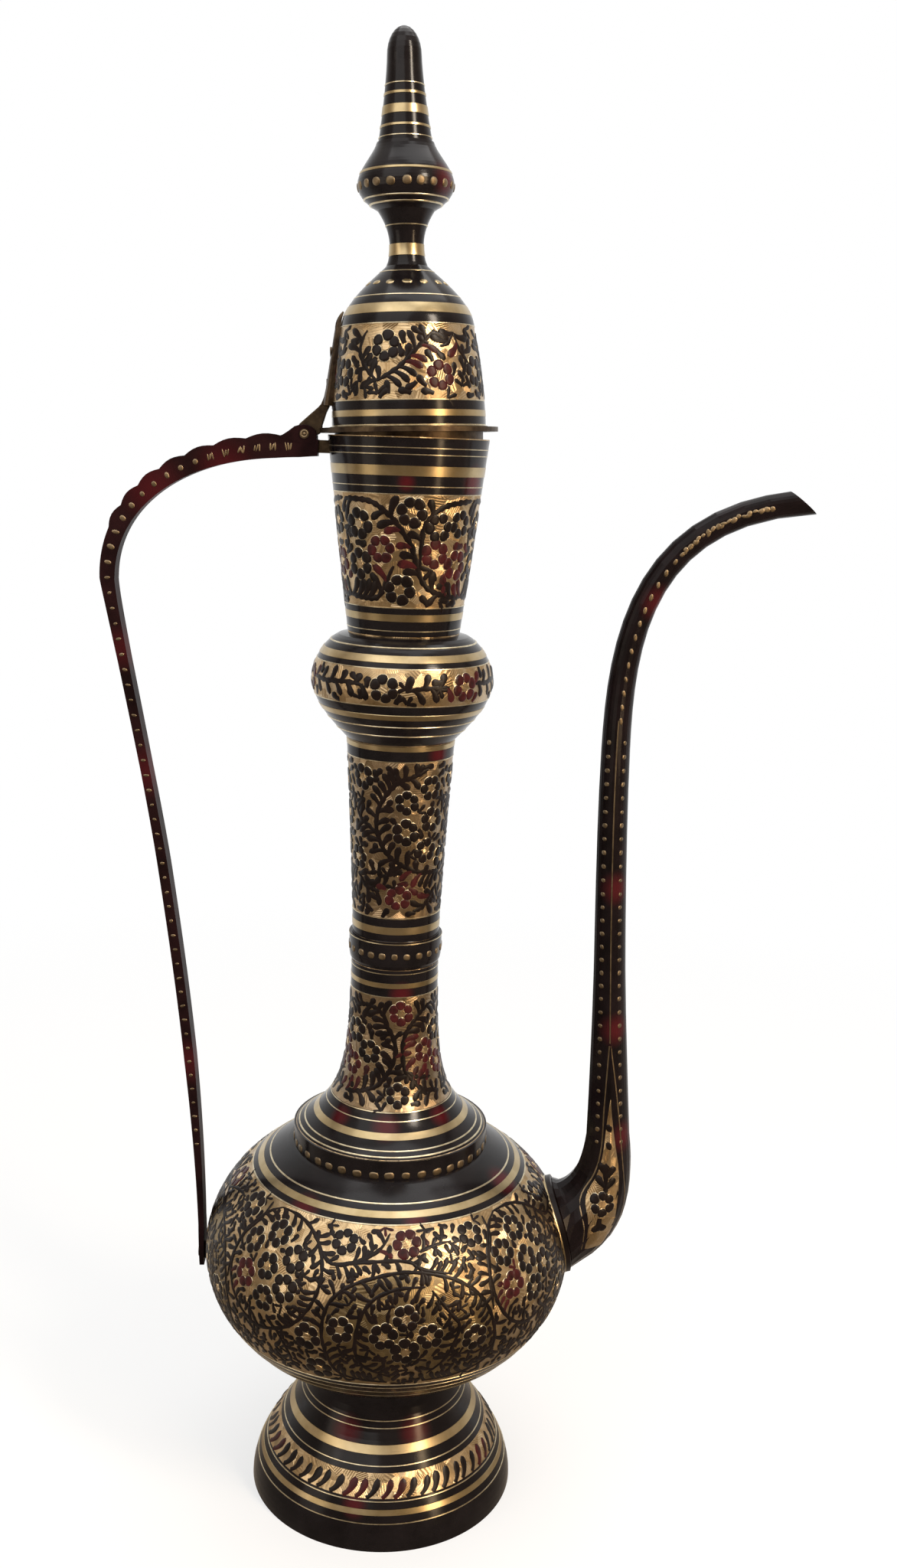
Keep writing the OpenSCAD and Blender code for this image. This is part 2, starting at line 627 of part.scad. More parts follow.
foot();
bowl_lower();
bowl_upper();
shoulder_ring();
lower_neck();
neck_collar();
upper_neck();
knop_lower();
knop_upper();
mouth_cup();
lid_flange();
lid_bezel();
lid_dome();
finial_stem();
finial_bead();
finial_spire();
finial_bolt();
finial_washer();
hinge_strap();
strap_rivets();
hinge_pin();
cup_lug();
handle();
handle_rivet();
spout();
spout_flange();
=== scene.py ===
import bisect
import json
import math
import random

import bpy
from mathutils import Matrix, Vector
from mathutils.bvhtree import BVHTree


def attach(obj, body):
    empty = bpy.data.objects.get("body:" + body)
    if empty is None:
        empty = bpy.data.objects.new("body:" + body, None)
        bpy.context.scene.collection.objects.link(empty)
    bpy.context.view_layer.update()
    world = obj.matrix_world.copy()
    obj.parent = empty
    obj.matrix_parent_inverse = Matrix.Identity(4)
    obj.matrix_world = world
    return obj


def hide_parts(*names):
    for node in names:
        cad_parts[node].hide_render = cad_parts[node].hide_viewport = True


# surahi: a lidded brass ewer, turned, lacquered in stripes and chased with flowers
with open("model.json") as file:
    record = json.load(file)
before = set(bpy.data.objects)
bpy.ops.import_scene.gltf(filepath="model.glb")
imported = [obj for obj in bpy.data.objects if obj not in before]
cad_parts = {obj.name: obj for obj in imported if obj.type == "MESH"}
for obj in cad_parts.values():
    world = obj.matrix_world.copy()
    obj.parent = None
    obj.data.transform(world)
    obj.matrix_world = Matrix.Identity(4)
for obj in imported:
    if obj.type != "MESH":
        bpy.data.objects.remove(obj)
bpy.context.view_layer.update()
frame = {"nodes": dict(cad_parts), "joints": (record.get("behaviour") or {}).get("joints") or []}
nodes = frame["nodes"]
mm = 0.001
dice = random.Random(17)

# the lid stands a little open: it is measured and dressed shut, then turned back on its hinge
lidHinge = next(j for j in frame["joints"] if j["name"] == "lid_hinge")
hingePoint = Vector(lidHinge["pos_m"])
lidAjar = math.radians(2.3)
openLid = Matrix.Translation(hingePoint) @ Matrix.Rotation(-lidAjar, 4, "Y") @ Matrix.Translation(-hingePoint)

# turned forms, and the heights in mm between which each is dressed
turned = {
    "vessel": {"low": 0.0, "high": 458.2, "turn": Matrix.Identity(4), "nodes": [
        "foot", "bowl_lower", "bowl_upper", "shoulder_ring", "lower_neck", "neck_collar", "upper_neck",
        "knop_lower", "knop_upper", "mouth_cup"]},
    "lid": {"low": 459.0, "high": 605.0, "turn": openLid, "nodes": [
        "lid_flange", "lid_dome", "finial_stem", "finial_bead", "finial_spire"]},
}


def nodeTree(names, turn):
    # one search tree over the surfaces of several nodes, with the turn undone
    points, faces = [], []
    back = turn.inverted()
    for name in names:
        start = len(points)
        mesh = nodes[name].data
        points.extend(back @ v.co for v in mesh.vertices)
        faces.extend([start + i for i in p.vertices] for p in mesh.polygons)
    return BVHTree.FromPolygons(points, faces)


skinStep = 0.5  # mm between the heights at which a turned form is measured
for form in turned.values():
    tree = nodeTree(form["nodes"], form["turn"])
    count = int((form["high"] - form["low"]) / skinStep) + 1
    form["radius"], form["along"] = [], [0.0]
    for i in range(count):
        z = form["low"] + i * skinStep + 0.01
        best = 0.0
        for turnDeg in (0.0, 1.3, 2.1, 3.2):
            way = Vector((math.sin(math.radians(turnDeg)), -math.cos(math.radians(turnDeg)), 0.0))
            hit = tree.ray_cast(way * 0.2 + Vector((0, 0, z * mm)), -way)[0]
            if hit:
                best = max(best, math.hypot(hit.x, hit.y) / mm)
        form["radius"].append(best if best else form["radius"][-1])
    for a, b in zip(form["radius"], form["radius"][1:]):
        form["along"].append(form["along"][-1] + math.hypot(b - a, skinStep))
print("skins measured")


def measuredAt(part, z, measure):
    values = turned[part][measure]
    x = min(max((z - turned[part]["low"]) / skinStep, 0.0), len(values) - 1.001)
    i = int(x)
    return values[i] + (values[i + 1] - values[i]) * (x - i)


def radiusAt(part, z):
    return measuredAt(part, z, "radius")


def alongAt(part, z):
    # mm walked up the surface to a height
    return measuredAt(part, z, "along")


def heightAt(part, along):
    form = turned[part]
    i = min(max(bisect.bisect_right(form["along"], along) - 1, 0), len(form["along"]) - 2)
    a, b = form["along"][i], form["along"][i + 1]
    return form["low"] + (i + (along - a) / max(b - a, 1e-9)) * skinStep


def onSkin(part, angle, z, lift):
    # a point on a turned form: angle 0 faces the front and 90 the spout, lift stands off the surface
    reach = 0.7  # mm above and below, over which the slope is taken
    slope = (radiusAt(part, z + reach) - radiusAt(part, z - reach)) / (2 * reach)
    size = math.hypot(1.0, slope)
    r = radiusAt(part, z) + lift / size
    z = z - lift * slope / size
    a = math.radians(angle)
    return turned[part]["turn"] @ Vector((r * math.sin(a) * mm, -r * math.cos(a) * mm, z * mm))


def nearSkin(part, angle, z, right, up, lift):
    # a point some mm to the right of and above another, measured on the surface
    height = heightAt(part, alongAt(part, z) + up)
    return onSkin(part, angle + math.degrees(right / radiusAt(part, height)), height, lift)


pieces = {}


def addRows(name, finish, body, rows, closed=True):
    # joins rows of points into a sheet of the named piece; a row of one point closes it
    if any(p is None for row in rows for p in row):
        return
    piece = pieces.setdefault(name, {"finish": finish, "body": body, "points": [], "faces": []})
    starts = []
    for row in rows:
        starts.append(len(piece["points"]))
        piece["points"].extend(row)
    for k in range(len(rows) - 1):
        a, b = starts[k], starts[k + 1]
        n = max(len(rows[k]), len(rows[k + 1]))
        for i in range(n if closed else n - 1):
            j = (i + 1) % n
            if len(rows[k + 1]) == 1:
                piece["faces"].append((a + i, a + j, b))
            else:
                piece["faces"].append((a + i, a + j, b + j, b + i))


# stripes: lacquer coats on the brass, then turned brass bands and scribed lines, as heights in mm
stripes = {
    "around": 144, "coatLift": 0.1, "bandLift": 0.2, "lineWide": 0.55, "edge": 0.12,
    "vessel": {
        "coats": [(59.6, 87.6), (150.3, 160.4), (159.9, 161.3), (169.4, 184.0), (231.2, 242.9),
                  (255.4, 265.2), (331.4, 337.9), (381.8, 393.2), (436.8, 458.1)],
        "grounds": [(356.4, 370.6), (20.2, 28.7)],
        "bands": [(443.8, 447.8), (387.7, 390.7), (372.8, 375.6), (350.2, 352.5), (335.7, 337.9),
                  (258.4, 261.7), (235.2, 237.5), (174.5, 176.9), (152.1, 154.1), (34.5, 37.8),
                  (14.4, 16.7)],
        "lines": [454.4, 451.9, 440.0, 437.0, 393.2, 384.0, 378.2, 370.7, 356.2, 347.0, 342.7, 331.5, 265.5,
                  254.6, 241.4, 231.5, 183.6, 180.5, 171.6, 170.0, 155.8, 150.4, 87.3, 84.8, 81.2, 76.6,
                  46.2, 43.5, 30.8, 19.3, 11.5],
    },
    "lid": {
        "coats": [(460.9, 470.7), (498.4, 522.4)],
        "grounds": [],
        "bands": [(582.5, 583.6), (575.5, 578.9), (571.0, 572.0), (554.6, 555.6), (524.8, 529.3),
                  (502.4, 506.2), (464.4, 467.0)],
        "lines": [586.5, 567.6, 545.5, 543.5, 536.0, 518.9, 509.3, 498.6, 470.5, 461.2],
    },
}


def addStripe(name, finish, part, low, high, lift):
    # a band round a turned form, with its edges rounded down to the surface
    edge = min(stripes["edge"], 0.3 * (high - low))
    inside = max(2, int((high - low) / 1.2) + 1)
    section = [(low, -0.05)]
    section += [(low + edge + (high - low - 2 * edge) * i / inside, lift) for i in range(inside + 1)]
    section += [(high, -0.05)]
    count = stripes["around"]
    rows = [[onSkin(part, 360.0 * i / count, z, up) for i in range(count)] for z, up in section]
    addRows(name, finish, part, rows)
    pieces[name]["crisp"] = True


for part in ("vessel", "lid"):
    plan = stripes[part]
    for low, high in plan["coats"]:
        addStripe(part + "_lacquer_coats", "bandLacquer", part, low, high, stripes["coatLift"])
    for low, high in plan["grounds"]:
        addStripe(part + "_brass_ground", "chasedBrass", part, low, high, stripes["coatLift"])
    for low, high in plan["bands"]:
        addStripe(part + "_brass_bands", "turnedBrass", part, low, high, stripes["bandLift"])
    lineHalf = stripes["lineWide"] / 2
    for z in plan["lines"]:
        # the scribed lines' pale brass is partly a painted highlight
        addStripe(part + "_scribed_lines", "cutAndGlintBrass", part, z - lineHalf, z + lineHalf, stripes["bandLift"])
print("stripes laid")


# small marks are drawn in mm about a spot; place(right, up, lift) gives their points
def spotOn(part, angle, z, base=0.0):
    return lambda right, up, lift: nearSkin(part, angle, z, right, up, base + lift)


def addDot(name, finish, body, place, wide, high, power, tilt=0.0, lift=0.22):
    # a round or squarish spot, slightly domed
    corners = 14
    rows = []
    for share, up in ((1.0, -0.03), (0.9, lift), (0.5, lift + 0.06)):
        row = []
        for i in range(corners):
            q = 2 * math.pi * i / corners
            c, s = math.cos(q), math.sin(q)
            size = (abs(c) ** power + abs(s) ** power) ** (-1 / power) * share / 2
            u, v = wide * size * c, high * size * s
            row.append(place(u * math.cos(tilt) - v * math.sin(tilt),
                             u * math.sin(tilt) + v * math.cos(tilt), up))
        rows.append(row)
    addRows(name, finish, body, rows + [[place(0.0, 0.0, lift + 0.07)]])


commaForm = {"steps": 9, "headFrom": 0.64, "edge": 0.03, "crown": 0.14, "swell": 0.16, "swellTo": 1.6}


def addComma(name, finish, body, place, heading, bend, long, half, tail):
    # a curved stalk that swells to a round head, highest along its middle
    steps, headFrom = commaForm["steps"], commaForm["headFrom"]
    left, middle, right = [], [], []
    x = y = 0.0
    for k in range(steps + 1):
        t = k / steps
        way = heading + bend * t
        if t < headFrom:
            w = half * (tail + (1 - tail) * (t / headFrom) ** 2)
        else:
            w = half * math.sqrt(max(1 - ((t - headFrom) / (1 - headFrom)) ** 2, 0.0)) + 0.02
        nx, ny = -math.sin(way) * w, math.cos(way) * w
        left.append(place(x + nx, y + ny, commaForm["edge"]))
        right.append(place(x - nx, y - ny, commaForm["edge"]))
        middle.append(place(x, y, commaForm["crown"] + commaForm["swell"] * min(w, commaForm["swellTo"])))
        x += long / steps * math.cos(way)
        y += long / steps * math.sin(way)
    addRows(name, finish, body, [right, middle, left], closed=False)


# shares of the flower's size; the rim and the petal step inwards as share of their outline and lift in mm
flowerForm = {
    "petals": 6, "corners": 12, "out": 0.65, "long": 0.365, "wide": 0.388, "eye": 0.3, "eyeCorners": 9,
    "rim": [(1.08, 0.0), (1.02, 0.16), (0.97, 0.1)], "petal": [(1.0, 0.08), (0.85, 0.3), (0.5, 0.36)],
    "middle": 0.3, "eyeTop": 0.38,
}


def addFlower(zoneName, finish, body, place, size, turn):
    # round lacquer petals, each in its cut brass rim, about an uneven brass eye
    count = flowerForm["petals"]
    for j in range(count):
        way = turn + 2 * math.pi * j / count + dice.uniform(-0.07, 0.07)
        reach = size * dice.uniform(0.93, 1.05)
        outline = []
        for k in range(flowerForm["corners"]):
            q = 2 * math.pi * k / flowerForm["corners"]
            outline.append((flowerForm["long"] * reach * math.cos(q),
                            flowerForm["wide"] * reach * math.sin(q) * (1 + 0.18 * math.cos(q))))
        out = flowerForm["out"] * reach
        c, s = math.cos(way), math.sin(way)

        def ring(share, lift):
            return [place((out + x * share) * c - y * share * s,
                          (out + x * share) * s + y * share * c, lift) for x, y in outline]

        # the rims' pale brass is partly a painted highlight on the cut edges
        addRows(zoneName + "_cut_rims", "cutAndGlintBrass", body, [ring(*step) for step in flowerForm["rim"]])
        addRows(zoneName + "_petals_" + finish, finish, body,
                [ring(*step) for step in flowerForm["petal"]] + [ring(0.0, flowerForm["middle"])[:1]])
    eye = [[], []]
    for k in range(flowerForm["eyeCorners"]):
        q = 2 * math.pi * k / flowerForm["eyeCorners"]
        r = size * flowerForm["eye"] * dice.uniform(0.9, 1.06)
        eye[0].append(place(r * math.cos(q), r * math.sin(q), 0.02))
        eye[1].append(place(0.9 * r * math.cos(q), 0.9 * r * math.sin(q), flowerForm["eyeTop"] - 0.02))
    addRows(zoneName + "_eyes", "chasedBrass", body, eye + [[place(0.0, 0.0, flowerForm["eyeTop"])]])
    pieces[zoneName + "_eyes"]["crisp"] = True


# rows of brass dots left standing in the lacquer
dotRows = [
    {"name": "ring_dots", "part": "vessel", "z": 162.9, "count": 39, "wide": 3.9, "high": 3.3, "power": 3.4,
     "finish": "scrapedBrass"},
    {"name": "collar_dots", "part": "vessel", "z": 249.3, "count": 23, "wide": 2.9, "high": 2.8,
     "power": 3.0, "finish": "scrapedBrass"},
    {"name": "bead_dots", "part": "lid", "z": 550.0, "count": 20, "wide": 3.5, "high": 3.4, "power": 2.6,
     "finish": "scrapedBrass"},
    {"name": "cap_dots", "part": "lid", "z": 514.3, "count": 15, "wide": 4.0, "high": 2.5, "power": 2.4,
     "finish": "turnedBrass"},
]
for plan in dotRows:
    for i in range(plan["count"]):
        angle = 360.0 * (i + dice.uniform(-0.09, 0.09)) / plan["count"]
        addDot(plan["name"], plan["finish"], plan["part"],
               spotOn(plan["part"], angle, plan["z"] + dice.uniform(-0.12, 0.12)),
               plan["wide"] * dice.uniform(0.86, 1.08), plan["high"] * dice.uniform(0.88, 1.06),
               plan["power"], dice.uniform(-0.18, 0.18))
print("dots set")

# chased flowers, in degrees and mm: each zone is drawn once and repeated round the form
zones = {
    "bowl": {
        "part": "vessel", "low": 88.0, "high": 150.0, "repeat": 4, "flower": 5.9, "leaf": 6.6, "vine": 0.8,
        "half": 1.1, "leafGap": 2.3, "fill": 2.1, "base": 0.05, "shadedVine": 0,
        "black": [(-40, 142.0), (-49, 136.7), (-31, 136.4), (-40, 130.6), (-32, 125.4), (-39, 118.8),
                  (-15, 145.0), (-23, 109.0), (-13, 114.8), (6, 120.2), (-0.5, 113.0), (13, 112.4),
                  (6, 106.1), (27, 108.4), (31, 145.2), (-20, 94.0)],
        "red": [(-48, 124.6), (7, 145.2)],
        "vines": [
            [(1, 89.5), (-13, 92.5), (-17.5, 104), (-18.5, 114), (-17, 124), (-12, 130.7), (-3, 135),
             (7, 136.6), (18, 134.3), (26, 129.2), (31, 121.5), (34, 109.2), (34, 99), (31, 93.6),
             (22, 90), (12, 89.5)],
            [(12, 131.4), (4, 131.2), (-3, 128), (-6.5, 122.4), (-8, 116), (-8.5, 106), (-6, 98.6), (2, 93)],
            [(14, 130), (20, 119.7), (22, 115), (20.5, 108), (18, 100.5), (13, 94)],
            [(-45, 149), (-38, 149), (-31, 147.6), (-25, 143.9), (-21.5, 138.4), (-20.5, 131.8),
             (-22, 123.4), (-27, 113.7), (-34, 107.9), (-42, 105.6), (-49, 109.6), (-54, 117.9),
             (-56, 127.5), (-55, 138), (-50, 146), (-45, 149)],
            [(-25, 143.9), (-18, 137.8), (-8, 140.2), (-2, 144.0), (1, 148.2)],
            [(-18, 137.8), (-3, 139.9), (7, 140.0), (11, 137.4), (21, 134.6)],
            [(7, 140.0), (11, 142.6), (17, 144.2), (23, 144.6)],
            [(39, 149), (38.5, 143), (35, 136.3), (33.5, 127), (33.5, 118)],
            [(-34, 107.9), (-31, 101), (-30, 94), (-36, 90)],
        ],
    },
    "cup": {
        "part": "vessel", "low": 393.6, "high": 436.6, "repeat": 3, "flower": 6.1, "leaf": 8.8, "vine": 1.1,
        "half": 1.65, "leafGap": 2.7, "fill": 2.2, "base": 0.0,
        "black": [(-41, 425.2), (4, 430.2), (27, 424.6), (48, 426.0), (-43, 409.8), (-5, 400.4)],
        "red": [(-21, 415.9), (25, 414.2), (48, 410.0)],
        "vines": [
            [(63, 397.2), (48, 397.4), (35, 398.4), (21, 401), (13, 405.6), (7.5, 413), (4, 418),
             (-3, 422.6), (-10, 427.2), (-20, 431.4), (-32, 434.2), (-57, 434.6)],
            [(12, 408), (13, 416), (13, 421.4), (16.5, 427), (26, 431.4), (38, 433.6), (60, 434.8)],
            [(-57, 397.2), (-40, 396.6), (-26, 397), (-18, 401.8), (-14, 406), (-10, 409.6)],
        ],
    },
    "knop": {
        "part": "vessel", "low": 357.0, "high": 370.2, "repeat": 3, "flower": 6.0, "leaf": 6.8, "vine": 1.0,
        "half": 1.6, "leafGap": 2.6, "fill": 2.2, "base": 0.1,
        "black": [(-11, 363.0)],
        "red": [(42, 363.4)],
        "vines": [[(-70, 364.6), (-55, 364.0), (-38, 364.7), (-25, 364.2)],
                  [(2, 362.2), (13, 363.5), (30, 363.8)], [(52, 364), (56, 364.6)]],
    },
    "upperNeck": {
        "part": "vessel", "low": 265.8, "high": 331.2, "repeat": 3, "flower": 5.4, "leaf": 7.2, "vine": 1.0,
        "half": 1.4, "leafGap": 2.0, "fill": 1.8, "base": 0.0,
        "black": [(-44, 324.0), (9, 314.6), (38, 320.4), (42, 307.0), (9, 302.2), (35, 294.2), (-55, 289.9)],
        "red": [(2, 274.3)],
        "vines": [
            [(62, 284.6), (45, 284.5), (25, 285.4), (8, 288), (-6, 290.8), (-17, 295), (-24, 300.4),
             (-26.5, 304.8), (-24.5, 310.5), (-19, 315.2), (-10, 319.9), (0, 323.4), (13, 325.2),
             (32, 328.4)],
            [(-24, 300.4), (-37, 304.2), (-50, 306.8), (-57, 311)],
            [(-57, 283), (-49, 280.6), (-42, 278.3), (-22, 276.8)],
            [(58, 279), (48, 275), (36, 270), (22, 268.6)],
        ],
    },
    "lowerNeck": {
        "part": "vessel", "low": 184.6, "high": 231.0, "repeat": 3, "flower": 5.6, "leaf": 7.2, "vine": 1.0,
        "half": 1.4, "leafGap": 2.0, "fill": 1.8, "base": 0.0,
        "black": [(-30, 207.1), (6.5, 189.8), (-55, 214.8)],
        "red": [(10, 224.4), (-54, 200.5), (44, 207)],
        "vines": [
            [(-56, 188.6), (-44, 189.4), (-33, 190.5), (-17, 193.3), (-7, 197.5), (0.5, 202.8), (4, 208.6),
             (0, 214.5), (-8, 219.1), (-12, 223.1), (-23, 226.2), (-38, 227), (-57, 225.6)],
            [(58, 189), (36, 191.3), (25, 195.4), (16, 199.7), (13, 205), (13, 210.8), (17, 216), (28, 221),
             (41, 225), (57, 227.2)],
            [(16, 199.7), (31, 196.6), (49, 195.7)],
        ],
    },
    "dome": {
        "part": "lid", "low": 470.9, "high": 498.2, "repeat": 3, "flower": 6.0, "leaf": 8.0, "vine": 0.9,
        "half": 1.42, "leafGap": 2.7, "fill": 2.2, "base": 0.0,
        "black": [(-18, 490.0), (-58, 481.0)],
        "red": [(25, 479.2)],
        "vines": [
            [(-24, 477.3), (-7, 482.5), (4, 487.8), (14, 492.3), (22, 496)],
            [(-24, 477.3), (-35, 482.8), (-41, 488.3), (-39, 493.4), (-35, 496)],
            [(40, 495.3), (44, 490), (48, 487.3), (57, 483)],
            [(40, 495.3), (33, 491), (26, 490)],
        ],
    },
}


def smoothLine(points, gap):
    # a curve through the points, stepped at about the given spacing
    out = []
    n = len(points)
    for i in range(n - 1):
        p0, p1, p2, p3 = points[max(i - 1, 0)], points[i], points[i + 1], points[min(i + 2, n - 1)]
        count = max(2, int(math.dist(p1, p2) / gap))
        for k in range(count):
            t = k / count
            out.append(tuple(0.5 * (2 * b + (c - a) * t + (2 * a - 5 * b + 4 * c - d) * t * t
                                    + (3 * b - a - 3 * c + d) * t ** 3)
                             for a, b, c, d in zip(p0, p1, p2, p3)))
    out.append(tuple(points[-1]))
    return out


# leaves lean off their vine in radians, turn red near red flowers, and loose ones may be three-leaved sprouts
leafForm = {"tail": 0.58, "lean": 0.85, "bend": 0.75, "shares": (1.0, 0.78), "looseShare": 0.66,
            "redReach": 10.0, "redShare": 0.5, "sproutShare": 0.22, "sproutSpread": 0.95}


def addVine(name, part, line, half, base):
    # a raised lacquer stalk through (angle, along) points, thin at both ends
    left, middle, right = [], [], []
    for k, (angle, along) in enumerate(line):
        (a0, s0), (a1, s1) = line[max(k - 1, 0)], line[min(k + 1, len(line) - 1)]
        z = heightAt(part, along)
        dx, dy = math.radians(a1 - a0) * radiusAt(part, z), s1 - s0
        size = max(math.hypot(dx, dy), 1e-6)
        ends = min(k, len(line) - 1 - k)
        w = half * (0.4 + 0.6 * min(1.0, 0.2 * ends)) * (1 + 0.2 * math.sin(1.7 * k)) / size
        left.append(nearSkin(part, angle, z, -dy * w, dx * w, base + 0.03))
        right.append(nearSkin(part, angle, z, dy * w, -dx * w, base + 0.03))
        middle.append(onSkin(part, angle, z, base + 0.31))
    addRows(name, "blackLacquer", part, [right, middle, left], closed=False)


def planZone(zone):
    # works out the leaves of one repeat: along the vines first, then loose ones where there is room
    part, span = zone["part"], 360.0 / zone["repeat"]
    lowAlong, highAlong = alongAt(part, zone["low"]), alongAt(part, zone["high"])
    vines = [smoothLine([(a, alongAt(part, z)) for a, z in vine], 1.5) for vine in zone["vines"]]
    busy = [(a, alongAt(part, z), 0.95 * zone["flower"]) for a, z in zone["black"] + zone["red"]]
    busy += [(a, s, zone["vine"] * 0.6) for vine in vines for a, s in vine]
    leaves = []

    def gapTo(angle, along, a, s):
        turnBy = (angle - a + span / 2) % span - span / 2
        return math.hypot(math.radians(turnBy) * radiusAt(part, heightAt(part, along)), along - s)

    def tryLeaf(angle, along, heading, bend, long, kind):
        # the head has to stand clear; its stalk may start on a vine
        room = 0.84 * zone["half"] + 0.1
        r = radiusAt(part, heightAt(part, along))
        reach = (0.74 if kind == "comma" else 0.5) * long
        headAngle = angle + math.degrees(reach * math.cos(heading + bend / 3) / r)
        headAlong = along + reach * math.sin(heading + bend / 3)
        if not lowAlong + 0.9 * room < headAlong < highAlong - 0.9 * room:
            return False
        if any(gapTo(headAngle, headAlong, a, s) < room + other for a, s, other in busy):
            return False
        red = any(gapTo(headAngle, headAlong, a, alongAt(part, z)) < leafForm["redReach"]
                  for a, z in zone["red"])
        leaves.append((angle, along, heading, bend, long, kind, red))
        busy.append((headAngle, headAlong, 0.8 * zone["half"]))
        busy.append(((angle + headAngle) / 2, (along + headAlong) / 2, 0.5))
        return True

    for vine in vines:
        walked, sideSign = zone["leafGap"], 1
        for k in range(1, len(vine) - 1):
            (a0, s0), (angle, along), (a1, s1) = vine[k - 1:k + 2]
            r = radiusAt(part, heightAt(part, along))
            dx, dy = math.radians(a1 - a0) * r, s1 - s0
            walked += math.hypot(dx, dy) / 2
            if walked < zone["leafGap"]:
                continue
            for turnSide in (sideSign, -sideSign):
                heading = math.atan2(dy, dx) + turnSide * leafForm["lean"]
                for share in leafForm["shares"]:
                    long = zone["leaf"] * share * dice.uniform(0.9, 1.1)
                    if tryLeaf(angle, along, heading, turnSide * leafForm["bend"], long, "comma"):
                        walked = 0.0
                        break
                if walked == 0.0:
                    break
            sideSign = -sideSign
    pitch = zone["fill"]
    for i in range(int((highAlong - lowAlong) / pitch) + 1):
        along = lowAlong + i * pitch + dice.uniform(-0.5, 0.5)
        across = max(1, int(math.radians(span) * radiusAt(part, heightAt(part, along)) / pitch))
        for j in range(across):
            angle = span * (j + 0.5 * (i % 2) + dice.uniform(-0.15, 0.15)) / across
            kind = "sprout" if dice.random() < leafForm["sproutShare"] else "comma"
            tryLeaf(angle, along, dice.uniform(0, 2 * math.pi), dice.choice((-0.8, 0.8)),
                    leafForm["looseShare"] * zone["leaf"], kind)
    return vines, leaves


def addLeaf(zoneName, part, place, heading, bend, long, half, kind, red):
    finish = "redLacquer" if red and dice.random() < leafForm["redShare"] else "blackLacquer"
    name = zoneName + "_leaves_" + finish
    if kind == "comma":
        addComma(name, finish, part, place, heading, bend, long, half, leafForm["tail"])
        return
    for turnBy in (-leafForm["sproutSpread"], 0.0, leafForm["sproutSpread"]):
        addComma(name, finish, part, place, heading + turnBy, 0.5 * turnBy, 0.9 * long, 0.62 * half, 0.7)


def addShadedGround(zoneName, part, edge, shift):
    # painted shade: the ground inside a closed vine is coloured darker brass, for the darker floor it mirrors
    midAngle, midAlong = (sum(p[k] for p in edge) / len(edge) for k in (0, 1))
    rows = []
    for share in (1.0, 0.97, 0.9, 0.8, 0.7, 0.6, 0.5, 0.4, 0.3, 0.2, 0.1):
        lift = 0.06 if share < 1 else -0.02
        rows.append([onSkin(part, midAngle + (a - midAngle) * share + shift,
                            heightAt(part, midAlong + (s - midAlong) * share), lift) for a, s in edge])
    rows.append([onSkin(part, midAngle + shift, heightAt(part, midAlong), 0.06)])
    addRows(zoneName + "_shaded_ground", "shadedGroundBrass", part, rows)


for zoneName, zone in zones.items():
    part, base = zone["part"], zone["base"]
    vines, leaves = planZone(zone)
    flowers = [(a, z, kind + "Lacquer") for kind in ("black", "red") for a, z in zone[kind]]
    for turnIndex in range(zone["repeat"]):
        shift = 360.0 / zone["repeat"] * turnIndex
        for a, z, finish in flowers:
            addFlower(zoneName, finish, part, spotOn(part, a + shift, z, base),
                      zone["flower"] * dice.uniform(0.95, 1.05), dice.uniform(0, 1))
        for a, s, heading, bend, long, kind, red in leaves:
            addLeaf(zoneName, part, spotOn(part, a + shift, heightAt(part, s), base), heading, bend, long,
                    zone["half"] * dice.uniform(0.88, 1.1), kind, red)
        for vine in vines:
            addVine(zoneName + "_vines", part, [(a + shift, s) for a, s in vine], zone["vine"], base)
        # painted shade on the ground inside the vine that the zone names
        if "shadedVine" in zone:
            addShadedGround(zoneName, part, vines[zone["shadedVine"]], shift)
    print("zone", zoneName, len(flowers), "flowers,", len(leaves), "leaves in each repeat")

# lacquer strokes on the foot's brass ring, each swept up from the lower edge to a hooked head
footStrokes = {"count": 57, "low": 20.5, "long": 9.2, "half": 1.7, "lean": 0.6, "bend": 1.25, "tail": 0.55,
               "redEvery": 9}
for i in range(footStrokes["count"]):
    finish = "redLacquer" if i % footStrokes["redEvery"] < 2 else "blackLacquer"
    angle = 360.0 * (i + dice.uniform(-0.12, 0.12)) / footStrokes["count"]
    addComma("foot_strokes_" + finish, finish, "vessel",
             spotOn("vessel", angle, footStrokes["low"], stripes["coatLift"]),
             footStrokes["lean"] + dice.uniform(-0.1, 0.1), footStrokes["bend"],
             footStrokes["long"] * dice.uniform(0.94, 1.03), footStrokes["half"] * dice.uniform(0.85, 1.1),
             footStrokes["tail"])


def curveAt(curve, u):
    # the (x, z) point of a chain of Bezier arcs; u counts whole arcs
    k = min(int(u), len(curve) - 1)
    t = u - k
    return tuple((1 - t) ** 3 * a + 3 * t * (1 - t) ** 2 * b + 3 * t * t * (1 - t) * c + t ** 3 * d
                 for a, b, c, d in zip(*curve[k]))


def headingAt(curve, u):
    (x0, z0), (x1, z1) = curveAt(curve, max(u - 0.01, 0.0)), curveAt(curve, min(u + 0.01, len(curve)))
    return math.atan2(z1 - z0, x1 - x0)


def walkCurve(curve, u0, u1, gap):
    # parameters along a curve about gap mm apart
    out, last = [u0], curveAt(curve, u0)
    u = u0
    while u < u1:
        u += 0.002
        here = curveAt(curve, u)
        if math.dist(here, last) >= gap:
            out.append(u)
            last = here
    return out


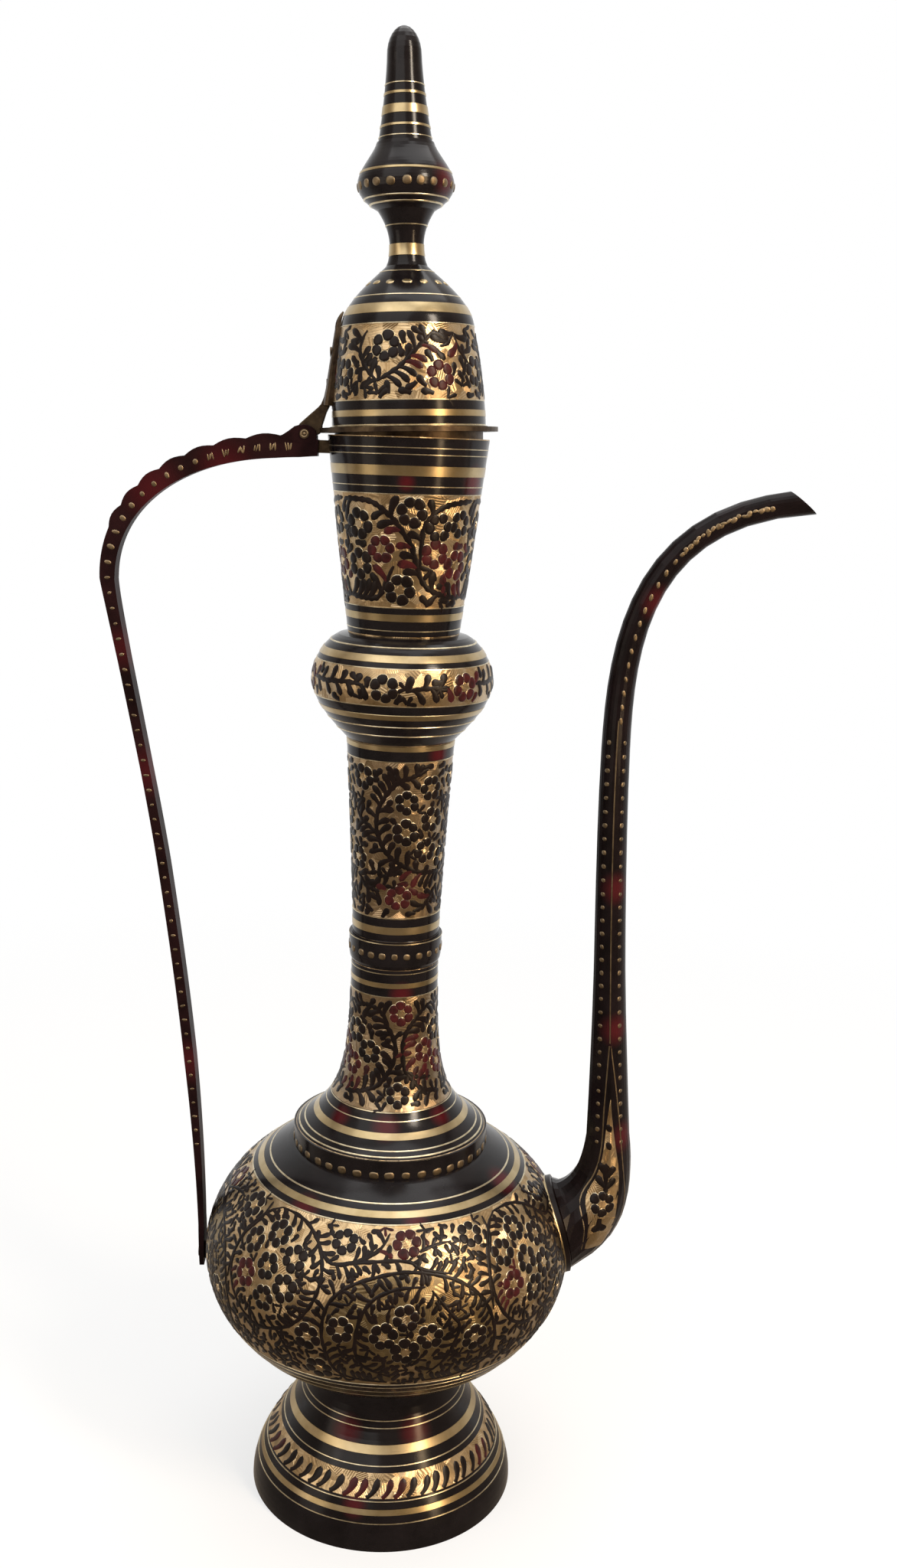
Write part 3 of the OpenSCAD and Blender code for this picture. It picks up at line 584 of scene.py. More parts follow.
def onSide(tree, x, z, face, lift):
    # the point of a side face seen from -Y (face -1) or +Y (face 1), lifted off it
    hit, normal = tree.ray_cast(Vector((x * mm, face * 0.1, z * mm)), Vector((0, -face, 0)))[:2]
    if hit is None:
        return None
    if normal.y * face < 0:
        normal = -normal
    return hit + normal * lift * mm


def spotBeside(tree, face, x, z, base=0.0):
    # right runs to +X seen from the front and to -X seen from behind; base lifts the whole mark
    return lambda right, up, lift: onSide(tree, x - face * right, z + up, face, base + lift)


def addSideDot(name, tree, face, spot, wide, high, power, tilt, lift=0.1):
    # a dab of brass scraped bare on a side face
    addDot(name, "scrapedBrass", "vessel", spotBeside(tree, face, *spot), wide, high, power, tilt, lift)


def addSideLine(name, finish, tree, face, line, half, lift):
    # a thin scribed line over a side face through (x, z) points
    rows = [[], [], []]
    for k, (x, z) in enumerate(line):
        (x0, z0), (x1, z1) = line[max(k - 1, 0)], line[min(k + 1, len(line) - 1)]
        size = max(math.dist((x0, z0), (x1, z1)), 1e-6)
        nx, nz = -(z1 - z0) / size * half, (x1 - x0) / size * half
        rows[0].append(onSide(tree, x - nx, z - nz, face, 0.0))
        rows[1].append(onSide(tree, x, z, face, lift))
        rows[2].append(onSide(tree, x + nx, z + nz, face, 0.0))
    addRows(name, finish, "vessel", rows if face < 0 else rows[::-1], closed=False)


# handle: brass scraped bare in short strokes along both side faces, following the handle's middle line
handleDabs = {
    "curve": [[(-35.6, 453.2), (-85.3, 455.7), (-118.6, 433.3), (-118.6, 400)],
              [(-118.6, 400), (-118.6, 394), (-102.8, 320.4), (-96.7, 278.5)],
              [(-96.7, 278.5), (-89.7, 229.5), (-81.5, 167), (-81.1, 101)]],
    "from": 0.08, "to": 2.72, "gap": 6.1, "strokesTo": 0.36, "strokes": 3, "pitch": 0.95,
    "stroke": (0.75, 3.4), "arch": (2.0, 3.1), "fall": (1.3, 2.3),
}
handleTree = nodeTree(["handle"], Matrix.Identity(4))
for face in (-1, 1):
    for u in walkCurve(handleDabs["curve"], handleDabs["from"], handleDabs["to"], handleDabs["gap"]):
        heading = headingAt(handleDabs["curve"], u)
        x, z = curveAt(handleDabs["curve"], u)
        count = handleDabs["strokes"] if u < handleDabs["strokesTo"] else 1
        kind = "stroke" if count > 1 else "arch" if u < 1 else "fall"
        wide, long = handleDabs[kind]
        tilt = heading if face < 0 else math.pi - heading
        for k in range(count):
            off = (k - (count - 1) / 2) * handleDabs["pitch"]
            spot = (x + off * math.cos(heading), z + off * math.sin(heading))
            addSideDot("handle_dabs", handleTree, face, spot, wide * dice.uniform(0.75, 1.1),
                       long * dice.uniform(0.7, 1.05), 2.2, tilt + dice.uniform(-0.5, 0.2))
print("handle dressed")


def tableAt(table, x):
    # straight lines between the (x, value) pairs of a table
    k = next((i for i in range(1, len(table) - 1) if x <= table[i][0]), len(table) - 1)
    (a, low), (b, high) = table[k - 1], table[k]
    return low + (high - low) * (x - a) / (b - a)


def addPlate(name, finish, body, outline, near, far, soft):
    # a plate between two depths with softened edges; its (x, z) outline is anticlockwise seen from the front
    count = len(outline)
    inner = []
    for i, (x, z) in enumerate(outline):
        (x0, z0), (x1, z1) = outline[i - 1], outline[(i + 1) % count]
        size = math.dist((x0, z0), (x1, z1))
        inner.append((x - (z1 - z0) / size * soft, z + (x1 - x0) / size * soft))
    depths = ((inner, far), (outline, far - soft), (outline, near + soft), (inner, near))
    addRows(name, finish, body, [[Vector((x, y, z)) * mm for x, z in edge] for edge, y in depths])
    last = len(pieces[name]["points"])
    pieces[name]["faces"].append(tuple(range(last - count, last)))
    pieces[name]["faces"].append(tuple(reversed(range(last - 4 * count, last - 3 * count))))
    pieces[name]["crisp"] = True


# hinge: the forged strap ends in a thin horn on the dome, and its arm runs down to the pin between two ears
hingeForm = {
    "low": 469.0, "high": 504.2, "steps": 33, "crown": 0.5,
    "deep": [(469, 3.9), (472, 3.6), (475.5, 3.1), (482.5, 2.7), (489.5, 2.45), (496.4, 2.4), (499.9, 2.1),
             (501.6, 1.7), (503.4, 1.0), (504.2, 0.6)],
    "half": [(469, 4.4), (471.5, 5), (480, 4.6), (488, 3.8), (496, 2.5), (500.5, 1.5), (504.2, 0.4)],
    "gap": [(469, 0.05), (498, 0.05), (504.2, 0.6)],
    "arm": [(-38.7, 456.35), (-34.3, 459.3), (-34.2, 461.9), (-33.6, 463.7), (-33.2, 465.1),
            (-32.6, 466.9), (-31.7, 468.8), (-30.8, 470.7), (-30, 473.2), (-33.4, 473.6), (-34.2, 471.6),
            (-34.8, 470.1), (-35.9, 468.8), (-39.2, 465.85), (-41.3, 463.95), (-43.2, 462.2),
            (-43.9, 460.6), (-43.07, 459.2), (-42.26, 460.25), (-41, 460.65), (-39.74, 460.25),
            (-38.93, 459.2), (-38.87, 457.88), (-39.44, 456.89)],
    "armHalf": 2.0, "soft": 0.35,
    "knuckle": [(1.38, 2.0), (3.2, 2.0), (3.2, -2.0), (1.38, -2.0), (1.38, 2.0)],
    "ear": [(-50.5, 456.4), (-47, 455.6), (-43, 454.8), (-38, 454.6), (-36.2, 455.2), (-36.1, 457),
            (-36.2, 458.7), (-36.8, 460), (-37.9, 461), (-39.4, 461.75), (-41, 461.95), (-42.8, 461.85),
            (-44.9, 461.2), (-47.2, 459.4), (-49.4, 457.9), (-51.2, 457.2)],
    "earFrom": 2.3, "earTo": 4.87, "earSoft": 0.3,
    "headFace": 5.4,
    "rings": [[(1.55, 0.0), (1.45, 0.12), (1.05, 0.12), (0.95, 0.0)],
              [(0.5, 0.0), (0.4, 0.12), (0.02, 0.12)]],
}


def pinRow(r, y, sense):
    # a circle of points about the hinge's axis
    turns = [2 * math.pi * i / 32 for i in range(32)]
    return [hingePoint + Vector((r * math.cos(q), y, sense * r * math.sin(q))) * mm for q in turns]


leafRows = []
for i in range(hingeForm["steps"] + 1):
    z = hingeForm["low"] + (hingeForm["high"] - hingeForm["low"]) * i / hingeForm["steps"]
    half, deep, gap = (tableAt(hingeForm[k], z) for k in ("half", "deep", "gap"))
    spots = [(s, gap) for s in (-1, -0.4, 0.4, 1)]
    spots += [(s, gap + deep * (1 - hingeForm["crown"] * s ** 4)) for s in (1, 0.8, 0.4, 0, -0.4, -0.8, -1)]
    leafRows.append([onSkin("lid", -90 - math.degrees(half * s / radiusAt("lid", z)), z, lift)
                     for s, lift in spots])
tip, root = (sum(row, Vector()) / len(row) for row in (leafRows[-1], leafRows[0]))
strap = ("hinge_strap_forged", "agedBrass", "lid")
addRows(*strap, leafRows + [[tip]])
addRows(*strap, [leafRows[0][::-1], [root]])
addPlate(*strap, hingeForm["arm"], -hingeForm["armHalf"], hingeForm["armHalf"], hingeForm["soft"])
addRows(*strap, [pinRow(r, y, 1) for r, y in hingeForm["knuckle"]])
pieces["hinge_strap_forged"]["replaces"] = "hinge_strap"
for near, far in ((-hingeForm["earTo"], -hingeForm["earFrom"]), (hingeForm["earFrom"], hingeForm["earTo"])):
    addPlate("handle_ears", "maroonLacquer", "vessel", hingeForm["ear"], near, far, hingeForm["earSoft"])
for face in (-1, 1):
    for profile in hingeForm["rings"]:
        addRows("hinge_pin_rings", "scrapedBrass", "vessel",
                [pinRow(r, face * (hingeForm["headFace"] + lift), -face) for r, lift in profile])
print("hinge dressed")

# spout: rows of dots, scribed lines, and a leaf of bare brass with its own flower on each side of the root
spoutDress = {
    "curve": [[(72, 121), (89, 125.5), (96, 140), (95, 165)],
              [(95, 165), (93, 215), (89, 285.1), (89, 335.3)],
              [(89, 335.3), (89, 376.4), (92, 430.8), (159, 438)]],
    "half": [(0, 19.6), (0.5, 15.2), (1, 9.4), (1.4, 6.9), (2, 6), (2.4, 5.5), (3, 5)],
    "dot": 1.8, "dotGap": 5.7, "dotAcross": (0.58, -0.52), "pairs": (0.98, 2.06),
    "beakDot": (2.7, 1.6), "beak": (2.1, 2.93), "streak": (2.66, 2.93), "streakGap": 2.1,
    "line": 0.25, "lineLift": 0.12, "ridge": (1.27, 2.1), "leafSteps": 28, "leafColumns": 8, "leafTop": 0.14,
    "leafLeft": [(85.5, 118), (86.4, 130), (85.2, 140), (90, 150), (92.2, 160), (93.1, 173), (94, 184)],
    "leafRight": [(93.5, 117.5), (98, 126), (99.4, 140), (99.4, 151), (97.3, 163), (95.3, 175), (94.2, 184)],
    "lineLeft": [(84, 118), (84.6, 128), (82.8, 139), (88.8, 150), (91.4, 162), (91.7, 181), (92.4, 208)],
    "lineRight": [(97, 116.5), (101.6, 127), (103, 139), (101.6, 151), (99.2, 170), (96, 191), (93, 208)],
    "flower": (92.3, 138.0, 5.7), "spray": 1.7,
    "commas": [(93.4, 142.5, 1.45, 0.25, 13), (93.6, 145, 0.5, 0.9, 5.5), (93.4, 145.5, 2.6, -0.9, 5.5),
               (94.2, 150, 0.7, 0.8, 5), (93.9, 150.5, 2.4, -0.8, 5.5), (91.3, 132, -1.75, 0.3, 6),
               (91.2, 129, -0.6, -0.8, 4), (91.2, 129, -2.6, 0.8, 4)],
    "rings": [(94.4, 163), (94.1, 171)], "ringSize": (2.6, 3.6),
}
spoutTree = nodeTree(["spout"], Matrix.Identity(4))


def spoutSpot(u, across):
    # a point beside the spout's middle line: across runs from -1 to 1 over its width
    off = across * tableAt(spoutDress["half"], u)
    heading = headingAt(spoutDress["curve"], u)
    x, z = curveAt(spoutDress["curve"], u)
    return x - math.sin(heading) * off, z + math.cos(heading) * off


def beakTilt(face, u):
    tilt = headingAt(spoutDress["curve"], u)
    return tilt if face < 0 else math.pi - tilt


for face in (-1, 1):
    for u in walkCurve(spoutDress["curve"], *spoutDress["pairs"], spoutDress["dotGap"]):
        for across in spoutDress["dotAcross"]:
            addSideDot("spout_dots", spoutTree, face, spoutSpot(u, across),
                       spoutDress["dot"] * dice.uniform(0.75, 1.05),
                       spoutDress["dot"] * dice.uniform(0.85, 1.2), 2.4, dice.uniform(-0.4, 0.4))
    for u in walkCurve(spoutDress["curve"], *spoutDress["beak"], spoutDress["dotGap"]):
        wide, high = (size * dice.uniform(0.85, 1.15) for size in spoutDress["beakDot"])
        addSideDot("spout_dots", spoutTree, face, spoutSpot(u, -0.1), wide, high, 2.2,
                   beakTilt(face, u) + dice.uniform(0.1, 0.7))
    for u in walkCurve(spoutDress["curve"], *spoutDress["streak"], spoutDress["streakGap"]):
        # worn through to a ragged streak at the beak
        addSideDot("spout_dots", spoutTree, face, spoutSpot(u, dice.uniform(-0.1, 0.1)),
                   dice.uniform(2.0, 3.4), dice.uniform(1.2, 2.4), 2.2,
                   beakTilt(face, u) + dice.uniform(-0.4, 0.9), dice.uniform(0.05, 0.12))
    # the bare leaf: rows across its outline, each point dropped on the spout's side
    edges = [smoothLine(spoutDress[name], 2.5) for name in ("leafLeft", "leafRight")]
    steps, columns = spoutDress["leafSteps"], spoutDress["leafColumns"]
    sheet = []
    for i in range(steps + 1):
        ends = [edge[round(i / steps * (len(edge) - 1))] for edge in edges]
        row = []
        for j in range(columns + 1):
            x, z = (a + (b - a) * j / columns for a, b in zip(*ends))
            lift = 0.0 if j in (0, columns) else spoutDress["leafTop"]
            row.append(onSide(spoutTree, x, z, face, 0.02 + lift))
        sheet.append(row if face < 0 else row[::-1])
    addRows("spout_leaves", "chasedBrass", "vessel", sheet, closed=False)
    sideLines = [smoothLine(spoutDress[name], 2.5) for name in ("lineLeft", "lineRight")]
    sideLines.append([spoutSpot(u, 0.06) for u in walkCurve(spoutDress["curve"], *spoutDress["ridge"], 4.0)])
    for line in sideLines:
        addSideLine("spout_lines", "scrapedBrass", spoutTree, face, line, spoutDress["line"],
                    spoutDress["lineLift"])
    x, z, size = spoutDress["flower"]
    place = spotBeside(spoutTree, face, x, z, spoutDress["leafTop"])
    addFlower("spout", "blackLacquer", "vessel", place, size, 0.5)
    for x, z, heading, bend, long in spoutDress["commas"]:
        if face > 0:
            heading, bend = math.pi - heading, -bend
        place = spotBeside(spoutTree, face, x, z, spoutDress["leafTop"])
        addComma("spout_sprays", "blackLacquer", "vessel", place, heading, bend, long,
                 spoutDress["spray"], 0.6)
    for x, z in spoutDress["rings"]:
        place = spotBeside(spoutTree, face, x, z, spoutDress["leafTop"])
        addDot("spout_sprays", "blackLacquer", "vessel", place, *spoutDress["ringSize"], 2.0, 0.3)

# a thin brass edge left bare where the spout's collar meets the bowl
rootEdge = {"from": Vector((72, 0, 121)), "axis": Vector((17, 0, 4.5)).normalized(), "r": 21.15, "high": 0.8,
            "corners": 90}
bowlTree = nodeTree(["bowl_lower", "bowl_upper"], Matrix.Identity(4))
axis = rootEdge["axis"]
edgeRows = [[], [], []]
for i in range(rootEdge["corners"]):
    turn = 2 * math.pi * i / rootEdge["corners"]
    beside = Vector((-axis.z * math.sin(turn), math.cos(turn), axis.x * math.sin(turn)))
    start = rootEdge["from"] + beside * rootEdge["r"] + axis * 30
    hit = bowlTree.ray_cast(start * mm, -axis)[0]
    for row, up, out in zip(edgeRows, (-0.1, rootEdge["high"], rootEdge["high"]), (0.0, 0.0, -0.25)):
        row.append(hit + (axis * up + beside * out) * mm)
addRows("spout_root_edge", "turnedBrass", "vessel", edgeRows)
print("spout dressed")


# colours are written as sRGB hex and turned to linear here
def hexColour(code):
    parts = [int(code[i:i + 2], 16) / 255 for i in (1, 3, 5)]
    return tuple(c / 12.92 if c <= 0.04045 else ((c + 0.055) / 1.055) ** 2.4 for c in parts) + (1.0,)


def addNode(tree, kind, settings=None, links=None):
    node = tree.nodes.new(kind)
    for key, value in (settings or {}).items():
        if isinstance(key, int) or key in node.inputs:
            node.inputs[key].default_value = value
        else:
            setattr(node, key, value)
    for key, source in (links or {}).items():
        tree.links.new(source, node.inputs[key])
    return node


graver = {"hatchPitch": 0.9, "hatchHigh": 0.03}  # mm, for the finishes with facets
lacquerIor = 1.36


def newMaterial(name, look):
    # metal, or lacquer where the look has a sheen: two colours mixed by a cloud, with bump and uneven gloss
    material = bpy.data.materials.new(name)
    material.use_nodes = True
    tree = material.node_tree
    tree.nodes.clear()
    place = addNode(tree, "ShaderNodeTexCoord").outputs["Object"]
    stretch = addNode(tree, "ShaderNodeMapping", {"Scale": look.get("stretch", (1, 1, 1))},
                      {"Vector": place})
    cloud = addNode(tree, "ShaderNodeTexNoise",
                    {"Scale": 1000 / look["cloudSize"], "Detail": 5.0, "Roughness": 0.6}, {"Vector": place})
    grain = addNode(tree, "ShaderNodeTexNoise",
                    {"Scale": 1000 / look["grainSize"], "Detail": 3.0, "Roughness": 0.55},
                    {"Vector": stretch.outputs["Vector"]})
    tone = addNode(tree, "ShaderNodeValToRGB", None, {"Fac": cloud.outputs["Fac"]})
    tone.color_ramp.elements[0].position = 0.35
    tone.color_ramp.elements[1].position = 0.65
    tone.color_ramp.elements[0].color = hexColour(look["dark"])
    tone.color_ramp.elements[1].color = hexColour(look["light"])
    colour = tone.outputs["Color"]
    for spot, size in look.get("dabSpots", []):
        # a soft dab of a second lacquer at its own place
        near = addNode(tree, "ShaderNodeVectorMath", {"operation": "DISTANCE", 1: spot}, {0: place})
        soft = {"interpolation_type": "SMOOTHSTEP", "From Min": 1.15 * size * mm,
                "From Max": 0.1 * size * mm}
        edge = addNode(tree, "ShaderNodeMapRange", soft, {"Value": near.outputs["Value"]})
        colour = addNode(tree, "ShaderNodeMix", {"data_type": "RGBA", 7: hexColour(look["dab"])},
                         {0: edge.outputs["Result"], 6: colour}).outputs[2]
    gloss = addNode(tree, "ShaderNodeMapRange", {"To Min": look["roughLow"], "To Max": look["roughHigh"]},
                    {"Value": grain.outputs["Fac"]})
    bump = addNode(tree, "ShaderNodeBump", {"Strength": look["bump"], "Distance": look["bumpHigh"] * mm},
                   {"Height": grain.outputs["Fac"]})
    if "facetSize" in look:
        # facets left by the graver: each small cell of the ground leans its own way
        cells = addNode(tree, "ShaderNodeTexVoronoi", {"Scale": 1000 / look["facetSize"]}, {"Vector": place})
        inCell = addNode(tree, "ShaderNodeVectorMath", {"operation": "SUBTRACT"},
                         {0: place, 1: cells.outputs["Position"]})
        lean = addNode(tree, "ShaderNodeVectorMath", {"operation": "SUBTRACT", 1: (0.5, 0.5, 0.5)},
                       {0: cells.outputs["Color"]})
        slope = addNode(tree, "ShaderNodeVectorMath", {"operation": "DOT_PRODUCT"},
                        {0: inCell.outputs["Vector"], 1: lean.outputs["Vector"]})
        bump = addNode(tree, "ShaderNodeBump", {"Strength": 1.0, "Distance": look["facetLean"]},
                       {"Height": slope.outputs["Value"], "Normal": bump.outputs["Normal"]})
        # with hatching across each facet, drawn about twice as coarse as the real strokes
        strokes = addNode(tree, "ShaderNodeMath",
                          {"operation": "MULTIPLY", 1: 5000 * math.pi / graver["hatchPitch"]},
                          {0: slope.outputs["Value"]})
        hatch = addNode(tree, "ShaderNodeMath", {"operation": "SINE"}, {0: strokes.outputs[0]})
        bump = addNode(tree, "ShaderNodeBump", {"Strength": 1.0, "Distance": graver["hatchHigh"] * mm},
                       {"Height": hatch.outputs[0], "Normal": bump.outputs["Normal"]})
    body = {"Metallic": 1.0}
    if "sheen" in look:
        body = {"Metallic": 0.0, "IOR": lacquerIor, "Specular IOR Level": look["sheen"]}
    shader = addNode(tree, "ShaderNodeBsdfPrincipled", body,
                     {"Base Color": colour, "Roughness": gloss.outputs["Result"],
                      "Normal": bump.outputs["Normal"]})
    addNode(tree, "ShaderNodeOutputMaterial", None, {"Surface": shader.outputs["BSDF"]})
    return material


# places of the red dabs in the black stripes, as angle, height and reach, seen in front and guessed behind
redDabs = {
    "vessel": [(60, 441.5, 8), (-1, 441.5, 4), (140, 440, 8), (-120, 441, 7), (45, 334, 6), (-150, 333, 7),
               (10, 232.6, 6), (170, 240, 7), (-4, 178.6, 7), (-47, 179, 6), (47, 180, 6), (130, 179, 7),
               (-135, 178, 7), (-36, 150.9, 8), (11, 151, 6), (62, 154, 8), (155, 152, 8), (-110, 151, 8),
               (-24, 41, 8), (22, 41, 8), (120, 41, 9), (-130, 40, 9), (-12, 17.5, 6), (100, 16, 7)],
    "lid": [(58, 551.6, 8), (-150, 549, 8), (-100, 470, 6), (150, 509, 7)],
}
bandDabs = [(onSkin(part, angle, z, 0.0), size)
            for part, spots in redDabs.items() for angle, z, size in spots]
handleSpots = [((x * mm, 0, z * mm), size) for x, z, size in
               ((-72, 444, 14), (-100, 435, 15), (-113, 372, 11), (-103, 322, 13), (-86, 196, 12))]
spoutSpots = [((x * mm, y * mm, z * mm), size) for x, z, size in
              ((101.5, 166, 8), (95, 215, 8), (92, 277, 8), (103, 396, 9)) for y in (-6, 6)]

looks = {
    # raised sheet brass, chased by hand: warm, with fine scratches and shallow facets
    "chasedBrass": {"slot": "brass", "dark": "#a68d68", "light": "#c9b08a", "cloudSize": 7.0,
                    "grainSize": 0.9, "stretch": (1, 1, 3), "roughLow": 0.24, "roughHigh": 0.42,
                    "bump": 0.3, "bumpHigh": 0.2, "facetSize": 5.0, "facetLean": 0.5},
    # the same brass on the necks, a shade darker and greyer
    "neckBrass": {"slot": "brass", "dark": "#8d795c", "light": "#ab967a", "cloudSize": 7.0,
                     "grainSize": 0.9, "stretch": (1, 1, 3), "roughLow": 0.26, "roughHigh": 0.44,
                     "bump": 0.3, "bumpHigh": 0.2, "facetSize": 5.0, "facetLean": 0.45},
    # painted shade: brass coloured darker and duller than the ground round it, for the darker floor mirrored
    # there
    "shadedGroundBrass": {"slot": "brass", "dark": "#75644a", "light": "#96835f", "cloudSize": 6.0,
                    "grainSize": 0.8, "roughLow": 0.3, "roughHigh": 0.48, "bump": 0.35, "bumpHigh": 0.2,
                    "facetSize": 4.0, "facetLean": 0.35},
    # brass turned bright in the lathe: even bands with faint rings
    "turnedBrass": {"slot": "brass", "dark": "#a28f69", "light": "#bba883", "cloudSize": 12.0,
                    "grainSize": 0.7, "stretch": (0.05, 0.05, 1), "roughLow": 0.25, "roughHigh": 0.33,
                    "bump": 0.03, "bumpHigh": 0.03},
    # brass freshly cut by the graver, paler than any other brass: partly the fresh cut, partly a painted
    # highlight on the cut edges
    "cutAndGlintBrass": {"slot": "brass", "dark": "#b2a384", "light": "#d8ccae", "cloudSize": 3.0, "grainSize": 0.6,
                 "roughLow": 0.2, "roughHigh": 0.42, "bump": 0.25, "bumpHigh": 0.1},
    # brass scraped bare through the lacquer: dull and grey-brown
    "scrapedBrass": {"slot": "brass", "dark": "#6e604b", "light": "#907f66", "cloudSize": 4.0,
                     "grainSize": 0.6, "roughLow": 0.36, "roughHigh": 0.58, "bump": 0.3, "bumpHigh": 0.12},
    # old unpolished brass of the hinge and the lid's rim: brown and dull
    "agedBrass": {"slot": "bronze", "dark": "#362c25", "light": "#5e503f", "cloudSize": 6.0,
                  "grainSize": 0.9, "roughLow": 0.34, "roughHigh": 0.55, "bump": 0.25, "bumpHigh": 0.15},
    # black shellac lacquer melted into the cuts: glossy, with a faint waviness
    "blackLacquer": {"slot": "lacquer", "dark": "#0c0605", "light": "#170d0a", "cloudSize": 9.0,
                     "grainSize": 1.6, "roughLow": 0.26, "roughHigh": 0.44, "bump": 0.12, "bumpHigh": 0.12,
                     "sheen": 0.3},
    # red shellac lacquer in single petals and leaves
    "redLacquer": {"slot": "maroon", "dark": "#220a0a", "light": "#3e1011", "cloudSize": 4.0,
                   "grainSize": 1.6, "roughLow": 0.26, "roughHigh": 0.44, "bump": 0.12, "bumpHigh": 0.12,
                   "sheen": 0.3},
    # the black lacquer in the stripes, with soft dabs of red
    "bandLacquer": {"slot": "lacquer", "dark": "#0d0a0b", "light": "#171314", "cloudSize": 14.0,
                    "grainSize": 1.2, "stretch": (0.15, 0.15, 1), "dab": "#3e0d12", "dabSpots": bandDabs,
                    "roughLow": 0.12, "roughHigh": 0.24, "bump": 0.12, "bumpHigh": 0.1, "sheen": 0.32},
    # lacquer of the spout: black over red, with the red showing through in small places
    "spoutLacquer": {"slot": "lacquer", "dark": "#0d0909", "light": "#171011", "cloudSize": 10.0,
                     "grainSize": 1.4, "dab": "#3c1114", "dabSpots": spoutSpots, "roughLow": 0.14,
                     "roughHigh": 0.26, "bump": 0.12, "bumpHigh": 0.1, "sheen": 0.16},
    # dark maroon lacquer of the handle, brushed on in long strokes
    "maroonLacquer": {"slot": "maroon", "dark": "#130909", "light": "#211011", "cloudSize": 16.0,
                      "grainSize": 1.4, "stretch": (1, 1, 0.2), "dab": "#3a1013", "dabSpots": handleSpots,
                      "roughLow": 0.34, "roughHigh": 0.5, "bump": 0.2, "bumpHigh": 0.15, "sheen": 0.05},
}
materials = {name: newMaterial(name, look) for name, look in looks.items()}
print("materials:", len(materials))

for name, piece in pieces.items():
    mesh = bpy.data.meshes.new(name)
    mesh.from_pydata([tuple(p) for p in piece["points"]], [], piece["faces"])
    mesh.polygons.foreach_set("use_smooth", [True] * len(mesh.polygons))
    if "crisp" in piece:
        mesh.set_sharp_from_angle(angle=math.radians(25))
    mesh.materials.append(materials[piece["finish"]])
    thing = bpy.data.objects.new(name, mesh)
    bpy.context.scene.collection.objects.link(thing)
    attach(thing, piece["body"])
    if "replaces" in piece:
        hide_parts(piece["replaces"])
print("pieces:", len(pieces), "faces:", sum(len(p["faces"]) for p in pieces.values()))

nodeFinish = {
    "chasedBrass": ["bowl_lower", "bowl_upper", "mouth_cup", "lid_dome"],
    "neckBrass": ["lower_neck", "upper_neck"],
    "agedBrass": ["lid_flange", "lid_bezel", "finial_bolt", "finial_washer", "hinge_strap", "strap_rivets",
                  "hinge_pin", "cup_lug", "handle_rivet"],
    "bandLacquer": ["foot", "shoulder_ring", "neck_collar", "knop_lower", "knop_upper", "finial_stem",
                    "finial_bead", "finial_spire"],
    "maroonLacquer": ["handle"], "spoutLacquer": ["spout"], "blackLacquer": ["spout_flange"],
}
for finish, names in nodeFinish.items():
    for name in names:
        nodes[name].data.materials.clear()
        nodes[name].data.materials.append(materials[finish])

# camera at the photograph's place; the picture is 1172 x 2048
photo = {"high": 2048, "focal": 2025.3, "eye": (0.0, -628.53, 452.95),
         "pitch": 12.048, "yaw": 1.846, "roll": 1.929}
pitch, yaw, roll = (math.radians(photo[k]) for k in ("pitch", "yaw", "roll"))
forward = Vector((math.sin(yaw) * math.cos(pitch), math.cos(yaw) * math.cos(pitch), -math.sin(pitch)))
levelRight = Vector((math.cos(yaw), -math.sin(yaw), 0.0))
levelUp = levelRight.cross(forward)
cameraRight = math.cos(roll) * levelRight + math.sin(roll) * levelUp
cameraUp = -math.sin(roll) * levelRight + math.cos(roll) * levelUp
lens = bpy.data.cameras.new("photoCamera")
lens.sensor_fit = "VERTICAL"
lens.sensor_height = 36.0
lens.lens = photo["focal"] / photo["high"] * 36.0
lens.clip_start, lens.clip_end = 0.01, 50.0
camera = bpy.data.objects.new("photoCamera", lens)
axes = Matrix((cameraRight, cameraUp, -forward)).transposed().to_4x4()
camera.matrix_world = Matrix.Translation(Vector(photo["eye"]) * mm) @ axes
bpy.context.scene.collection.objects.link(camera)
bpy.context.scene.camera = camera

# soft studio: a high key, upright strips that draw the tall glints on the turned forms, and a top light
lamps = [
    {"name": "keySoftbox", "at": (-0.7, -1.2, 1.5), "size": (1.7, 1.7), "power": 13.5, "tint": "#ffffff"},
    {"name": "leftStrip", "at": (-1.15, -0.7, 0.5), "size": (0.55, 0.95), "power": 2.3, "tint": "#fff2e0"},
    {"name": "rightStrip", "at": (0.94, -0.9, 0.58), "size": (0.16, 0.95), "power": 8.4, "tint": "#ffdcae"},
    {"name": "upperStrip", "at": (0.94, -0.9, 1.25), "size": (0.28, 0.5), "power": 15.0, "tint": "#fff0dd"},
    {"name": "topSoftbox", "at": (0.1, 0.2, 1.7), "size": (1.2, 1.2), "power": 11.0, "tint": "#ffffff"},
]
lampAim = Vector((0, 0, 0.3))
for plan in lamps:
    light = bpy.data.lights.new(plan["name"], "AREA")
    light.shape = "RECTANGLE"
    light.size, light.size_y = plan["size"]
    light.energy = plan["power"]
    light.color = hexColour(plan["tint"])[:3]
    lamp = bpy.data.objects.new(plan["name"], light)
    lamp.location = plan["at"]
    lamp.rotation_euler = (lampAim - lamp.location).to_track_quat("-Z", "Y").to_euler()
    bpy.context.scene.collection.objects.link(lamp)


def seenRay(tree, kinds):
    # 1 for rays of the named kinds, 0 for all others
    path = addNode(tree, "ShaderNodeLightPath")
    either = path.outputs[kinds[0]]
    for kind in kinds[1:]:
        either = addNode(tree, "ShaderNodeMath", {"operation": "MAXIMUM"},
                         {0: either, 1: path.outputs[kind]}).outputs[0]
    return either


